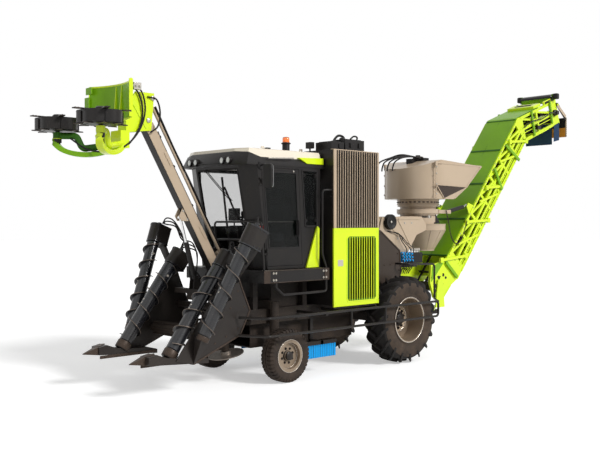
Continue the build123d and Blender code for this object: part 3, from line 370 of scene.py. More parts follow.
darker = mixColour(tree, mathNode(tree, "MULTIPLY", remap(tree, broad, 0.35, 0.7), start.outputs["Blotch"]),
                   start.outputs["Colour"], (0.02, 0.018, 0.015))
rubbed = mathNode(tree, "MULTIPLY", remap(tree, specks, 0.68, 0.76), start.outputs["Wear"], clamp=True)
bare = mixColour(tree, rubbed, darker, (0.42, 0.36, 0.29))
tree.links.new(mixColour(tree, dusty, bare, start.outputs["Dust Colour"]), end.inputs["Colour"])
rough = mathNode(tree, "ADD", start.outputs["Base Roughness"], mathNode(tree, "MULTIPLY", dusty, 0.45))
rough = mathNode(tree, "ADD", rough, remap(tree, fine, 0.3, 0.7, -0.05, 0.05), clamp=True)
tree.links.new(rough, end.inputs["Roughness"])
peel = tree.nodes.new("ShaderNodeBump")
peel.inputs["Distance"].default_value = 0.002
tree.links.new(start.outputs["Peel"], peel.inputs["Strength"])
tree.links.new(mathNode(tree, "ADD", noise(tree, place, 90, 2), mathNode(tree, "MULTIPLY", fine, 0.6)),
               peel.inputs["Height"])
tree.links.new(peel.outputs[0], end.inputs["Normal"])

# Rubber: near black, browned by dust in patches, with a fine grain
rubberGroup, start, end = newGroup("tyreSkin", [("Colour", "NodeSocketColor", (0.03, 0.028, 0.027, 1)),
        ("Dust Colour", "NodeSocketColor", (0.17, 0.13, 0.1, 1)), ("Dust", "NodeSocketFloat", 0.5)],
        [("Colour", "NodeSocketColor"), ("Roughness", "NodeSocketFloat"), ("Normal", "NodeSocketVector")])
tree = rubberGroup
place = tree.nodes.new("ShaderNodeTexCoord").outputs["Object"]
broad, fine = noise(tree, place, 5, 6, 0.6), noise(tree, place, 120, 3)
dusty = mathNode(tree, "MULTIPLY", remap(tree, broad, 0.3, 0.75), remap(tree, fine, 0.2, 0.8))
dusty = mathNode(tree, "MULTIPLY", dusty, start.outputs["Dust"], clamp=True)
tree.links.new(mixColour(tree, dusty, start.outputs["Colour"], start.outputs["Dust Colour"]),
               end.inputs["Colour"])
tree.links.new(remap(tree, fine, 0.2, 0.8, 0.62, 0.9), end.inputs["Roughness"])
grain = tree.nodes.new("ShaderNodeBump")
grain.inputs["Distance"].default_value, grain.inputs["Strength"].default_value = 0.002, 0.25
tree.links.new(fine, grain.inputs["Height"])
tree.links.new(grain.outputs[0], end.inputs["Normal"])


def newMaterial(name):
    # a new material with its node tree and shader
    material = bpy.data.materials.new(name)
    material.use_nodes = True
    return material, material.node_tree, material.node_tree.nodes["Principled BSDF"]


def finish(name, group, metallic=0.0, coat=0.0, coatRough=0.1, specular=0.2, **values):
    # a Principled material whose colour, roughness and normal come from one of the groups
    material, tree, shader = newMaterial(name)
    shader.inputs["Metallic"].default_value = metallic
    shader.inputs["Coat Weight"].default_value = coat
    shader.inputs["Coat Roughness"].default_value = coatRough
    shader.inputs["Specular IOR Level"].default_value = specular
    node = tree.nodes.new("ShaderNodeGroup")
    node.node_tree = group
    node.location = (-300, 100)
    for label, value in values.items():
        socket = node.inputs[label.replace("_", " ")]
        socket.default_value = (*value, 1) if isinstance(value, tuple) else value
    for label, socket in (("Colour", "Base Color"), ("Roughness", "Roughness"), ("Normal", "Normal")):
        tree.links.new(node.outputs[label], shader.inputs[socket])
    return material


def paint(name, colour, dusted=None, dust=0.08, blotch=0.1, wear=0.2, rough=0.36, peel=0.1, **gloss):
    # a paint film: its colour and its dust's as seen on screen, then how dusty, patchy, rubbed and rough it is
    if dusted:
        gloss["Dust_Colour"] = linear(*dusted)
    return finish(name, paintGroup, Colour=linear(*colour), Dust=dust, Blotch=blotch, Wear=wear,
                  Base_Roughness=rough, Peel=peel, **gloss)


def rubber(name, colour, dusted, dust=0.3, **gloss):
    # the same for rubber
    return finish(name, rubberGroup, Colour=linear(*colour), Dust_Colour=linear(*dusted), Dust=dust, **gloss)


charcoal = paint("charcoalPaint", (27, 25, 25), (100, 82, 66), dust=0.16, blotch=0.25, wear=0.3, peel=0.15,
                 coat=0.04, coatRough=0.25)
underFrame = paint("underFramePaint", (28, 24, 22), (96, 76, 60), dust=0.35, blotch=0.4, wear=0.5, rough=0.55,
                   peel=0.3)
scrollPaint = paint("scrollPaint", (19, 21, 27), (92, 78, 68), dust=0.12, blotch=0.25, wear=0.3, rough=0.28,
                    peel=0.05, coat=0.3, coatRough=0.1, specular=0.4)
lime = paint("limePaint", (216, 240, 26), blotch=0.03, wear=0.12, rough=0.3, peel=0.06, coat=0.4,
             coatRough=0.12)
limeFrame = paint("limeFramePaint", (214, 240, 40), dust=0.1, blotch=0.06, wear=0.25, coat=0.25)
coverGreen = paint("coverGreenPaint", (122, 176, 12), blotch=0.14, wear=0.15, rough=0.42, peel=0.12, coat=0.1)
tan = paint("tanPaint", (188, 168, 144), (150, 126, 100), dust=0.1, blotch=0.07, rough=0.34, peel=0.08,
            coat=0.25, coatRough=0.2)
cream = paint("creamPaint", (232, 222, 204), blotch=0.03, wear=0.08, rough=0.28, peel=0.04, coat=0.4,
              coatRough=0.1)
# rim paint darkened into painted shade for the shadowed barrel, with its own dust and wear; the rear discs'
# faces are laid over in the lighter tan
shadedRimPaint = paint("shadedRimPaint", (152, 136, 118), (120, 98, 78), dust=0.25, blotch=0.12, wear=0.4, peel=0.08,
                 metallic=0.35)
plastic = paint("cabPlastic", (25, 24, 24), wear=0.05, rough=0.5, peel=0.35)
wornSteel = paint("wornSteel", (150, 142, 134), (110, 92, 76), dust=0.3, blotch=0.35, wear=0.4, rough=0.4,
                  peel=0.2, metallic=0.8)
chrome = paint("rodChrome", (226, 226, 226), dust=0.04, blotch=0.04, wear=0.0, rough=0.12, peel=0.0,
               metallic=1.0)
blueStrip = rubber("blueStrip", (10, 150, 222), (60, 130, 180))
navyStrip = rubber("navyStrip", (26, 52, 82), (60, 76, 96), dust=0.4)
tyreBlack = rubber("tyreBlack", (38, 34, 32), (98, 80, 66), dust=0.7)
hoseBlack = rubber("hoseBlack", (26, 25, 26), (70, 62, 56), specular=0.3)


def glassMaterial(name, colour, roughness=0.02, alpha=0.35):
    # thin tinted sheet: partly clear by its alpha, glossy by its coat
    material, tree, shader = newMaterial(name)
    shader.inputs["Base Color"].default_value = (*colour, 1)
    shader.inputs["Roughness"].default_value = roughness
    shader.inputs["Alpha"].default_value = alpha
    shader.inputs["Coat Weight"].default_value = 0.1
    shader.inputs["Specular IOR Level"].default_value = 0.2
    shader.inputs["Coat Roughness"].default_value = 0.03
    film = noise(tree, tree.nodes.new("ShaderNodeTexCoord").outputs["Object"], 6, 5)
    tree.links.new(remap(tree, film, 0.3, 0.8, roughness, roughness + 0.12), shader.inputs["Roughness"])
    return material


glass = glassMaterial("tintedGlass", linear(20, 24, 24), alpha=0.14)
doorGlass = glassMaterial("doorGlass", linear(8, 12, 10), alpha=0.5)
# dark brown on the louvre slats is painted shade for the gaps between the pale blades; the elevator chain
# takes it as its own brown
slatShadeAndChainBrown = paint("slatShadeAndChainBrown", (40, 33, 28), (80, 64, 52), dust=0.1, blotch=0.3, wear=0.3, rough=0.5,
                  peel=0.15)
dividerPaint = paint("dividerPaint", (38, 34, 32), (92, 78, 68), dust=0.2, blotch=0.2, wear=0.3, rough=0.34,
                     peel=0.05, coat=0.08)
chamberBrown = paint("chamberBrown", (62, 52, 45), (104, 86, 72), dust=0.3, blotch=0.4, wear=0.4, rough=0.45,
                     peel=0.2)

looks = {"chassis_frame": underFrame, "front_axle": underFrame, "rear_axle": underFrame,
         "engine_and_core": underFrame, "engine_housing": charcoal, "engine_panels": lime,
         "radiator_box": slatShadeAndChainBrown, "platform": charcoal, "cab_shell": charcoal, "cab_roof": cream,
         "cab_glass": glass, "cab_interior": plastic, "mirrors": plastic, "guard_rail_left": charcoal,
         "guard_rail_right": charcoal, "strip_curtain": blueStrip, "throat": underFrame,
         "chopper_chamber": chamberBrown, "extractor_neck": tan, "cab_door": charcoal, "door_glass": doorGlass,
         "header_frame": underFrame, "divider_left": dividerPaint, "divider_right": dividerPaint,
         "knockdown_roller": underFrame, "base_cutter_left": wornSteel, "base_cutter_right": wornSteel,
         "knuckle_left": underFrame, "knuckle_right": underFrame, "tie_rod": underFrame, "topper_boom": tan,
         "topper_link": tan, "topper_lift_barrel": charcoal, "topper_lift_rod": chrome, "topper_head": lime,
         "topper_drum_left": charcoal, "topper_drum_right": charcoal, "extractor_hood": tan,
         "extractor_fan": underFrame, "turntable": limeFrame, "swing_ring": tan, "elevator_truss": limeFrame,
         "elevator_chain": slatShadeAndChainBrown, "elevator_covers": coverGreen, "discharge_curtain": navyStrip,
         "elevator_lift_barrels": charcoal, "elevator_lift_rods": chrome, "end_flap": charcoal,}
for side in ("left", "right"):
    for kind in ("outer", "inner"):
        looks[f"scroll_{kind}_{side}"] = scrollPaint
    for axle in ("front", "rear"):
        looks[f"{axle}_tyre_{side}"] = tyreBlack
        looks[f"{axle}_rim_{side}"] = shadedRimPaint
for name, node in nodes.items():
    for index in range(max(1, len(node.material_slots))):
        if not node.material_slots:
            node.data.materials.append(looks[name])
        node.material_slots[index].material = looks[name]
print("finishes placed")


# Camera, floor and light

view = {"place": (11.5024, 10.2499, 2.3946), "yaw": 226.4735, "pitch": -0.19, "lens": 50.84, "sensor": 36.0}
yaw, pitch = math.radians(view["yaw"]), math.radians(view["pitch"])
forward = Vector((math.cos(pitch) * math.cos(yaw), math.cos(pitch) * math.sin(yaw), math.sin(pitch)))
cameraData = bpy.data.cameras.new("camera")
cameraData.lens, cameraData.sensor_width, cameraData.clip_end = view["lens"], view["sensor"], 200
camera = bpy.data.objects.new("camera", cameraData)
camera.location = view["place"]
camera.rotation_euler = forward.to_track_quat("-Z", "Y").to_euler()
bpy.context.scene.collection.objects.link(camera)
bpy.context.scene.camera = camera



def seenDirectly(tree):
    # 1 for a ray from the camera, off gloss or through glass, otherwise 0
    rays = tree.nodes.new("ShaderNodeLightPath")
    seen = mathNode(tree, "MAXIMUM", rays.outputs["Is Camera Ray"], rays.outputs["Is Glossy Ray"])
    return mathNode(tree, "MAXIMUM", seen, rays.outputs["Is Transmission Ray"])


floorMaterial, tree, shader = newMaterial("paleFloor")
shader.inputs["Base Color"].default_value = (0.86, 0.86, 0.86, 1)
shader.inputs["Roughness"].default_value = 0.9
shader.inputs["Specular IOR Level"].default_value = 0.1
shader.inputs["Emission Color"].default_value = (1, 1, 1, 1)
tree.links.new(mathNode(tree, "MULTIPLY", seenDirectly(tree), 0.42), shader.inputs["Emission Strength"])
floorMesh = bpy.data.meshes.new("floor")
floorMesh.from_pydata([(-90, -90, 0), (90, -90, 0), (90, 90, 0), (-90, 90, 0)], [], [(0, 1, 2, 3)])
floorMesh.materials.append(floorMaterial)
floor = bpy.data.objects.new("floor", floorMesh)
bpy.context.scene.collection.objects.link(floor)

world = bpy.data.worlds.new("studio")
bpy.context.scene.world = world
world.use_nodes = True
tree = world.node_tree
background = tree.nodes["Background"]
background.inputs["Color"].default_value = (1, 1, 1, 1)
tree.links.new(remap(tree, seenDirectly(tree), 0, 1, 0.36, 1.0), background.inputs["Strength"])

# name, direction the light travels, strength, softness in degrees
lamps = (("keySun", (0.22, -0.8, -0.52), 2.6, 14), ("fillSun", (-0.9, -0.25, -0.35), 0.3, 60))
for name, way, strength, softness in lamps:
    data = bpy.data.lights.new(name, "SUN")
    data.energy, data.angle = strength, math.radians(softness)
    lamp = bpy.data.objects.new(name, data)
    lamp.rotation_euler = Vector(way).to_track_quat("-Z", "Y").to_euler()
    bpy.context.scene.collection.objects.link(lamp)
bpy.context.scene.view_settings.view_transform = "Standard"
print("camera, floor and light set")

# Wheels

rearWheel = {"y": 0.897, "z": 0.7375, "radius": 0.7375, "width": 0.43, "rimRadius": 0.406, "lugs": 18,
             "lugHeight": 0.06, "lugWidth": 0.054, "sweep": 0.34, "crown": 0.02}
frontWheel = {"x": 2.675, "y": 0.89, "z": 0.4, "radius": 0.4, "width": 0.246, "rimRadius": 0.242, "blocks": 40,
              "groove": 0.012}


def mirrored(parts):
    # the same parts on the machine's other side
    return [(np.asarray(p).reshape(-1, 3) * np.array([1, -1, 1]), f) for p, f in parts]


def both(name, parts, body, material, smooth=40, bevel=0.0, slot=None, solid=None):
    # the same parts on the left and, mirrored, on the right; a body that ends in _ has a left and a right one,
    # and so has a solid whose place the two pieces take
    for side, given in (("left", parts), ("right", mirrored(parts))):
        carrier = body + side if body.endswith("_") else body
        piece = meshObject(f"{name}_{side}", given, carrier, material, smooth, bevel, slot)
        if solid:
            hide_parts(solid + side)


def ringOf(inner, outer, low, high, centre, direction, segments):
    # a flat ring: a rectangle from inner to outer radius and from low to high, carried round its axis
    return lathe([(inner, low), (outer, low), (outer, high), (inner, high), (inner, low)], centre, direction,
                 segments)


def carcass(w, tread):
    # profile of (radius, across): bead, bulging wall, shoulder and crowned tread
    half, rim, outer = w["width"] / 2, w["rimRadius"], tread
    a = np.linspace(-1, 1, 9)
    crown = [(outer - w.get("crown", 0.006) * abs(s) ** 2.2, s * half * 0.84) for s in a]
    wall = [(rim - 0.018, 0.78 * half), (rim + 0.012, 0.9 * half), (rim + 0.05, 0.985 * half),
            (rim + 0.45 * (outer - rim), half), (rim + 0.72 * (outer - rim), 0.975 * half),
            (outer - w.get("crown", 0.006) - 0.03, 0.93 * half)]
    left = [(r, -s) for r, s in wall]
    return left + crown + wall[::-1]


def lugBars(w, side):
    # each lug runs from the shoulder to just past the middle, and turns along the circle by sweep * s ** 0.85
    count, steps = w["lugs"], 9
    s = np.linspace(0, 1, steps)
    across = w["width"] / 2 * (1.0 - 1.12 * s)
    turn = w["sweep"] * s ** 0.85
    base = w["radius"] - w["lugHeight"] - w["crown"] * np.abs(across / (w["width"] / 2)) ** 2.2 - 0.004
    base[0] -= 0.075
    base[1] -= 0.012
    top = np.full(steps, w["radius"]) - w["crown"] * 0.5 * np.abs(across / (w["width"] / 2)) ** 3
    top[0] -= 0.085
    top[1] -= 0.008
    wide = w["lugWidth"] * np.array([0.95, 1.0, 0.9, 0.8, 0.76, 0.74, 0.74, 0.76, 0.8])
    first = np.arange(count) * 2 * math.pi / count + (0.5 * 2 * math.pi / count if side < 0 else 0)
    levels = np.stack([base, top, top, base], axis=1)
    shares = np.array([-0.62, -0.36, 0.36, 0.62])
    angle = first[:, None, None] + turn[None, :, None] + (wide[:, None] * shares[None] / w["radius"])[None]
    radius = np.broadcast_to(levels[None], angle.shape)
    y = np.broadcast_to((side * across)[None, :, None], angle.shape)
    points = np.stack([radius * np.sin(angle), y, radius * np.cos(angle)], axis=-1)
    middle = points.mean(axis=2, keepdims=True)
    points = np.concatenate([np.repeat(middle[:, :1], 4, 2), points, np.repeat(middle[:, -1:], 4, 2)], axis=1)
    faces = gridFaces(steps + 2, 4, wrapColumns=True)
    faces = faces[None] + (steps + 2) * 4 * np.arange(count)[:, None, None]
    return points.reshape(-1, 3), faces.reshape(-1, 4)


def shifted(part, x, y, z):
    # the same part moved
    return np.asarray(part[0]).reshape(-1, 3) + np.array([x, y, z]), part[1]


def treadBlocks(w, side):
    # shoulder blocks: short bars across the edge of the tread, one row on each side
    count = w["blocks"]
    a = np.arange(count) * 2 * math.pi / count + (math.pi / count if side < 0 else 0)
    half = w["width"] / 2
    low = w["radius"] - 0.03
    spread = 0.62 * math.pi / count
    corner = np.array([[low, 0.3], [w["radius"], 0.3], [w["radius"] - 0.004, 0.82],
                       [w["radius"] - 0.03, 0.985], [w["radius"] - 0.07, 0.99], [low - 0.03, 0.8]])
    angles = a[:, None, None] + np.array([-spread, spread])[None, :, None]
    radius = corner[None, None, :, 0]
    points = np.stack([radius * np.sin(angles), np.broadcast_to(side * half * corner[None, None, :, 1],
            (count, 2, len(corner))), radius * np.cos(angles)], axis=-1)
    n = len(corner)
    ring = gridFaces(2, n, wrapColumns=True)
    faces = (ring[None] + 2 * n * np.arange(count)[:, None, None]).reshape(-1, 4)
    caps = (np.arange(2 * n).reshape(2, n)[None] + 2 * n * np.arange(count)[:, None, None]).reshape(-1, n)
    return points.reshape(-1, 3), [faces, caps]


wallRubber = rubber("wallRubber", (50, 43, 38), (104, 86, 70), dust=0.9)
treadRubber = rubber("treadRubber", (17, 16, 16), (66, 54, 44), dust=0.35, specular=0.25)
rimEdge = paint("rimEdge", (214, 204, 192), dust=0.1, blotch=0.2, rough=0.25, peel=0.0, metallic=0.8)


def bead(radius, y, thick):
    # a thin round bead about the wheel's axle
    return lathe([(radius + thick * math.cos(t), y + thick * math.sin(t))
                  for t in np.linspace(0, 2 * math.pi, 9)], origin, toLeft, 72)


w = rearWheel
profile = carcass(w, w["radius"] - w["lugHeight"])
band = [(r + 0.003, s) for r, s in profile[5:-5]]
band += [(r - 0.008, s) for r, s in band[::-1]] + band[:1]
face = w["width"] / 2 - 0.012
lip = [(0.387, face + 0.001), (0.44, face + 0.001), (0.44, face - 0.03), (0.41, face - 0.03),
       (0.41, face + 0.008), (0.39, face + 0.008), (0.387, face + 0.001)]
walls = [lathe(profile, origin, toLeft, 96), lathe(lip, origin, toLeft, 96)]
treads = [lathe(band, origin, toLeft, 96), lugBars(w, 1), lugBars(w, -1)]
walls, treads = [[shifted(p, 0, w["y"], w["z"]) for p in group] for group in (walls, treads)]
both("rearTyre", walls, "rear_wheel_", wallRubber, 38, solid="rear_tyre_")
both("rearTread", treads, "rear_wheel_", treadRubber, 34)
# the rear disc's face in lighter tan, over a rim paint that carries painted shade
both("rearRimFace", [ringOf(0.122, 0.236, 0.8115, 0.8145, (0, 0, w["z"]), toLeft, 48)], "rear_wheel_", tan, 60,
     slot="rim_paint")
inside = w["rimRadius"] - 0.030
rims = [bead(0.381, w["y"] + w["width"] / 2 - 0.010, 0.007), bead(inside, 1.09, 0.004),
        bead(inside - 0.004, 1.02, 0.010), bead(inside - 0.004, 0.93, 0.010), bead(0.235, 0.823, 0.006)]
both("rearRimEdges", [shifted(p, 0, 0, w["z"]) for p in rims], "rear_wheel_", rimEdge, 60)
hub = [lathe([(0.0, 0.0), (0.128, 0.0), (0.128, 0.062), (0.1, 0.068), (0.095, 0.1), (0.07, 0.115),
              (0.0, 0.118)], (0, 0.797, w["z"]), toLeft, 40),
       bolts(around((0, 0.812, w["z"]), toLeft, 0.168, 12, 0.2), toLeft, 0.019, 0.024),
       bolts(around((0, 0.863, w["z"]), toLeft, 0.078, 8), toLeft, 0.009, 0.01)]
both("rearHub", hub, "rear_wheel_", charcoal, 35)
w = frontWheel
parts = [lathe(carcass(w, w["radius"] - w["groove"]), origin, toLeft, 72)]
for y in (-0.022, 0.022):
    foot = w["radius"] - 0.02
    rib = [(foot, y - 0.015), (w["radius"], y - 0.015), (w["radius"], y + 0.015), (foot, y + 0.015),
           (foot, y - 0.015)]
    parts.append(lathe(rib, origin, toLeft, 72))
parts += [treadBlocks(w, 1), treadBlocks(w, -1)]
both("frontTyre", [shifted(p, w["x"], w["y"], w["z"]) for p in parts], "front_wheel_", tyreBlack, 38,
     solid="front_tyre_")
rims = [bead(w["rimRadius"] + 0.002, w["y"] + w["width"] / 2 - 0.012, 0.004),
        bead(0.19, w["y"] + 0.052, 0.004)]
both("frontRimEdges", [shifted(p, w["x"], 0, w["z"]) for p in rims], "front_wheel_", rimEdge, 60)
hub = [lathe([(0.0, 0.93), (0.08, 0.93), (0.08, 0.945), (0.07, 0.952), (0.066, 0.99), (0.05, 1.0), (0.0, 1.0)],
             (w["x"], 0, w["z"]), toLeft, 32),
       bolts(around((w["x"], 0.93, w["z"]), toLeft, 0.112, 8, 0.3), toLeft, 0.013, 0.016)]
both("frontHub", hub, "front_wheel_", charcoal, 35)
print("wheels made")

worn = paint("wornEdge", (112, 102, 94), (120, 98, 80), dust=0.3, blotch=0.35, wear=0.7, rough=0.34, peel=0.15,
             metallic=0.55)
brownSteel = paint("brownSteel", (66, 55, 48), (100, 82, 68), dust=0.3, blotch=0.45, wear=0.8, rough=0.42,
                   peel=0.25, metallic=0.35)
darkGreen = paint("shadeGreenPaint", (48, 100, 14), blotch=0.2, wear=0.15, rough=0.5, peel=0.15)
galvanised = paint("galvanised", (196, 190, 180), dust=0.15, blotch=0.15, rough=0.3, metallic=0.75)
brass = paint("brassFitting", (214, 170, 86), dust=0.1, wear=0.1, rough=0.28, peel=0.0, metallic=0.9)

# Divider scrolls: foot and head of each on the left, its tube, flight and cover as in the solids
scrollKinds = {"outer": {"foot": (4.230, 0.900, 0.777), "head": (3.542, 1.202, 2.343), "tube": 0.093,
                         "flight": 0.135, "hand": -1, "first": 150, "cover": 0.110, "coverLength": 0.300,
                         "collar": 0.086},
               "inner": {"foot": (4.555, 0.596, 0.581), "head": (3.558, 0.596, 1.954), "tube": 0.098,
                         "flight": 0.140, "hand": 1, "first": 20, "cover": 0.104, "coverLength": 0.260,
                         "collar": 0.100}}
scrollShape = {"pitch": 0.272, "from": 0.115, "thick": 0.008, "samples": 48, "gap": 0.006}


def scrollFrame(kind):
    # the scroll's own axes: forward, sideways and along, as the solids take them
    foot, head = np.array(kind["foot"]), np.array(kind["head"])
    length = np.linalg.norm(head - foot)
    along = (head - foot) / length
    ahead = np.array([1.0, 0, 0]) - along * along[0]
    ahead /= np.linalg.norm(ahead)
    return foot, along, ahead, np.cross(along, ahead), length


def helix(kind, inner, outer, thick, start, stop):
    # a flat strip that stands out from the tube and turns once for each pitch of rise, tapered at both ends
    foot, along, ahead, aside, length = scrollFrame(kind)
    count = int((stop - start) / scrollShape["pitch"] * scrollShape["samples"])
    height = start + np.linspace(0, stop - start, count)
    turn = np.radians(kind["first"] + kind["hand"] * 360
                      * (height - scrollShape["from"]) / scrollShape["pitch"])
    radial = np.cos(turn)[:, None] * ahead + np.sin(turn)[:, None] * aside
    taper = np.clip(np.minimum(np.arange(count), np.arange(count)[::-1]) / 9, 0.15, 1)
    reach = inner + (outer - inner) * taper
    corners = []
    for radius, rise in ((np.full(count, inner), -0.5), (reach, -0.5), (reach, 0.5),
                         (np.full(count, inner), 0.5)):
        corners.append(foot + radius[:, None] * radial + (height + rise * thick)[:, None] * along)
    body = np.stack(corners, axis=1)
    middle = body.mean(axis=1, keepdims=True)
    body = np.concatenate([np.repeat(middle[:1], 4, 1), body, np.repeat(middle[-1:], 4, 1)])
    return body.reshape(-1, 3), gridFaces(len(body), 4, wrapColumns=True)


for label, kind in scrollKinds.items():
    foot, along, ahead, aside, length = scrollFrame(kind)
    end = length - kind["coverLength"] - scrollShape["gap"]
    r = kind["tube"]
    turned = [lathe([(0, 0.066), (r - 0.006, 0.066), (r, 0.072), (r, end - 0.006), (r - 0.006, end), (0, end)],
                    foot, along, 56),
              lathe([(0, 0.005), (0.02, 0.005), (0.02, length - 0.062), (0, length - 0.062)], foot, along, 20),
              helix(kind, r - 0.004, kind["flight"] - 0.002, scrollShape["thick"], scrollShape["from"],
                    end - 0.02)]
    # weld bead where the flight meets the tube; the plugs up the tube follow
    turned.append(helix(kind, r - 0.004, r + 0.007, 0.02, scrollShape["from"] + 0.004, end - 0.02))
    both(f"scroll_{label}", turned, f"scroll_{label}_", scrollPaint, solid=f"scroll_{label}_")
    rim = [helix(kind, kind["flight"] - 0.006, kind["flight"], 0.011, scrollShape["from"] + 0.01, end - 0.03)]
    both(f"scrollEdge_{label}", rim, f"scroll_{label}_", worn)
    plates = [bolts([foot + along * (end * 0.5 + s * 0.03) + ahead * (r - 0.001) for s in (-1, 1)], ahead,
                    0.008, 0.006),
              bolts([foot + along * (end * 0.86) - aside * (r - 0.001)], -aside, 0.014, 0.01)]
    both(f"scrollPlugs_{label}", plates, f"scroll_{label}_", galvanised)
    # worn collar round the foot, and the cover's lips, top cap and bolts
    c = kind["collar"]
    low = -0.02 if label == "outer" else -0.06
    collar = [lathe([(c + 0.003, low + 0.006), (c + 0.006, low + 0.012), (c + 0.006, 0.05), (c + 0.003, 0.056),
                     (c - 0.004, 0.056), (c - 0.004, low + 0.006), (c + 0.003, low + 0.006)], foot, along, 48)]
    both(f"scrollCollar_{label}", collar, "header", brownSteel)
    up = length - kind["coverLength"]
    half, back = kind["cover"], 0.2

    def coverRing(distance, grow, spread=0):
        # the cover's U outline at a distance up the scroll
        a = np.radians(np.linspace(-90, 90, 25))
        ring = [(math.cos(t) * (half + grow), math.sin(t) * (half + grow)) for t in a]
        ring += [(-back - spread, half + grow), (-back - spread, -half - grow)]
        return np.array([foot + along * distance + ahead * x + aside * y for x, y in ring])

    lips = []
    for low, high in ((up - 0.002, up + 0.014), (length - 0.016, length + 0.004)):
        rings = [coverRing(low, -0.004), coverRing(low, 0.005, 0.004), coverRing(high, 0.005, 0.004),
                 coverRing(high, -0.004)]
        lips.append((np.concatenate(rings), gridFaces(4, 27, wrapRows=True, wrapColumns=True)))
    for rise, way in ((length - 0.03, aside), (up + 0.03, aside), (up + 0.03, -aside)):
        lips.append(bolts([foot + along * rise + ahead * x + way * half for x in (-0.05, -0.12, -0.17)], way,
                          0.009, 0.007))
    lips.append(lathe([(0, 0.0), (0.055, 0.0), (0.055, 0.02), (0.03, 0.03), (0.03, 0.055), (0, 0.055)],
                      foot + along * length - ahead * 0.03, along, 24))
    both(f"scrollCover_{label}", lips, "header", scrollPaint)

# Divider plates: folded edges, row of bolts, toe and foot wedge in worn steel
divider = {"out": 0.756, "edge": [(3.64, 1.70), (3.50, 1.70), (3.42, 1.49), (3.249, 1.108), (3.438, 0.759),
        (4.277, 0.422)]}
edge = np.array([(x, divider["out"] + 0.004, z) for x, z in divider["edge"]])
middle = np.array([3.75, divider["out"] + 0.004, 1.0])
folded = edge + (middle - edge) * 0.02
both("dividerEdges", [edgeBars(folded, 0.012, 0.022, closed=False)], "header", brownSteel, 40, 0.002,
     slot="chassis_black")
both("dividerBolts", [bolts(onSide(divider["out"],
        ((3.36, 1.16), (3.48, 0.86), (3.7, 0.76), (3.9, 0.68), (3.48, 1.4), (3.56, 1.6), (3.62, 1.16))),
                            toLeft, 0.010, 0.007)], "header", brownSteel)
toe = []
for x, halfW, halfH, z in ((4.94, 0.052, 0.055, 0.541), (4.992, 0.053, 0.0565, 0.541),
                           (5.212, 0.0075, 0.0055, 0.516)):
    toe.append([(x, 0.609 + a * halfW, z + b * halfH) for a, b in ((-1, -1), (1, -1), (1, 1), (-1, 1))])
toe.append([(5.214, 0.609, 0.516)] * 4)
both("toeTip", [(np.array(toe).reshape(-1, 3), gridFaces(4, 4, wrapColumns=True)),
                bars((4.98, 0.609, 0.599), (4.86, 0.68, 0.622), 0.1, 0.01)], "header", brownSteel, 30, 0.002)
both("shoeWear", [boxes([(4.02, 4.98, 0.52, 0.534, 0.43, 0.475)]),
                  bolts([(x, 0.52, 0.453) for x in (4.1, 4.3, 4.5, 4.7, 4.9)], (0, -1, 0), 0.01, 0.008)],
     "header", brownSteel, 40, 0.002)

# Hoses from the scroll motors back to the nose, two bundles of three on each side
header = {"hoseR": 0.011}
bundle = []
for k, drop in enumerate((0.0, 0.05, 0.1)):
    bundle.append(tube([(3.47 - 0.02 * k, 1.17, 2.37), (3.42, 1.13, 2.46 - drop),
                        (3.36, 1.02 - 0.03 * k, 2.42 - drop), (3.33, 0.86, 2.24 - drop),
                        (3.33, 0.72 - 0.03 * k, 2.0), (3.36, 0.6, 1.72 - 0.02 * k), (3.42, 0.48, 1.5)],
                       header["hoseR"], 10, 60))
    bundle.append(tube([(3.52 - 0.02 * k, 0.60, 1.99), (3.46, 0.57, 2.10 - drop),
                        (3.35, 0.50 - 0.03 * k, 2.05 - drop), (3.32, 0.44, 1.8), (3.42, 0.4 - 0.02 * k, 1.45)],
                       header["hoseR"], 10, 48))
both("headerHoses", bundle, "header", hoseBlack, 60)
print("header made")

# Topper boom: a charcoal skin of painted shade on its front face, pivot caps, welded seams, hoses clamped
# along its back
boom = {"foot": (3.28, 1.60), "length": 2.581, "angle": 59.8, "half": 0.075}
way = np.array([math.cos(math.radians(boom["angle"])), 0, math.sin(math.radians(boom["angle"]))])
out = np.array([way[2], 0, -way[0]])
base = np.array([boom["foot"][0], 0, boom["foot"][1]])


def onBoom(up, outward=0.0, y=0.0):
    # a point up the boom, out from it and off to its side
    return base + way * up + out * outward + np.array([0, y, 0])


# charcoal skin on the boom's front face: painted shade
shade = bars(onBoom(0.07, boom["half"] + 0.001), onBoom(boom["length"] - 0.07, boom["half"] + 0.001), 0.146,
             0.004)
meshObject("boomShadeFace", [shade], "topper_boom", charcoal)
seams = [bars(onBoom(0.1, s * 0.07, y * 0.0755), onBoom(2.48, s * 0.07, y * 0.0755), 0.004, 0.008)
         for s in (-1, 1) for y in (-1, 1)]
seams += [bars(onBoom(u, -0.076, -0.07), onBoom(u, -0.076, 0.07), 0.03, 0.012, way)
          for u in (0.35, 1.0, 1.65, 2.3)]
seams += [bars(onBoom(u - 0.11, -0.05, 0.079), onBoom(u + 0.11, -0.05, 0.079), 0.008, 0.05)
          for u in (0.72, 1.95)]
meshObject("boomSeams", seams, "topper_boom", tan, 40, 0.0015)
caps = [lathe([(0, 0), (0.03, 0), (0.03, 0.01), (0.02, 0.02), (0, 0.02)], onBoom(u, 0, y * 0.075), (0, y, 0),
              24) for u in (0.0, boom["length"]) for y in (-1, 1)]
caps.append(bolts([onBoom(1.093 + s * 0.07, 0.09, 0.058) for s in (-1, 1)], toLeft, 0.012, 0.01))
meshObject("boomPins", caps, "topper_boom", galvanised)
lines = []
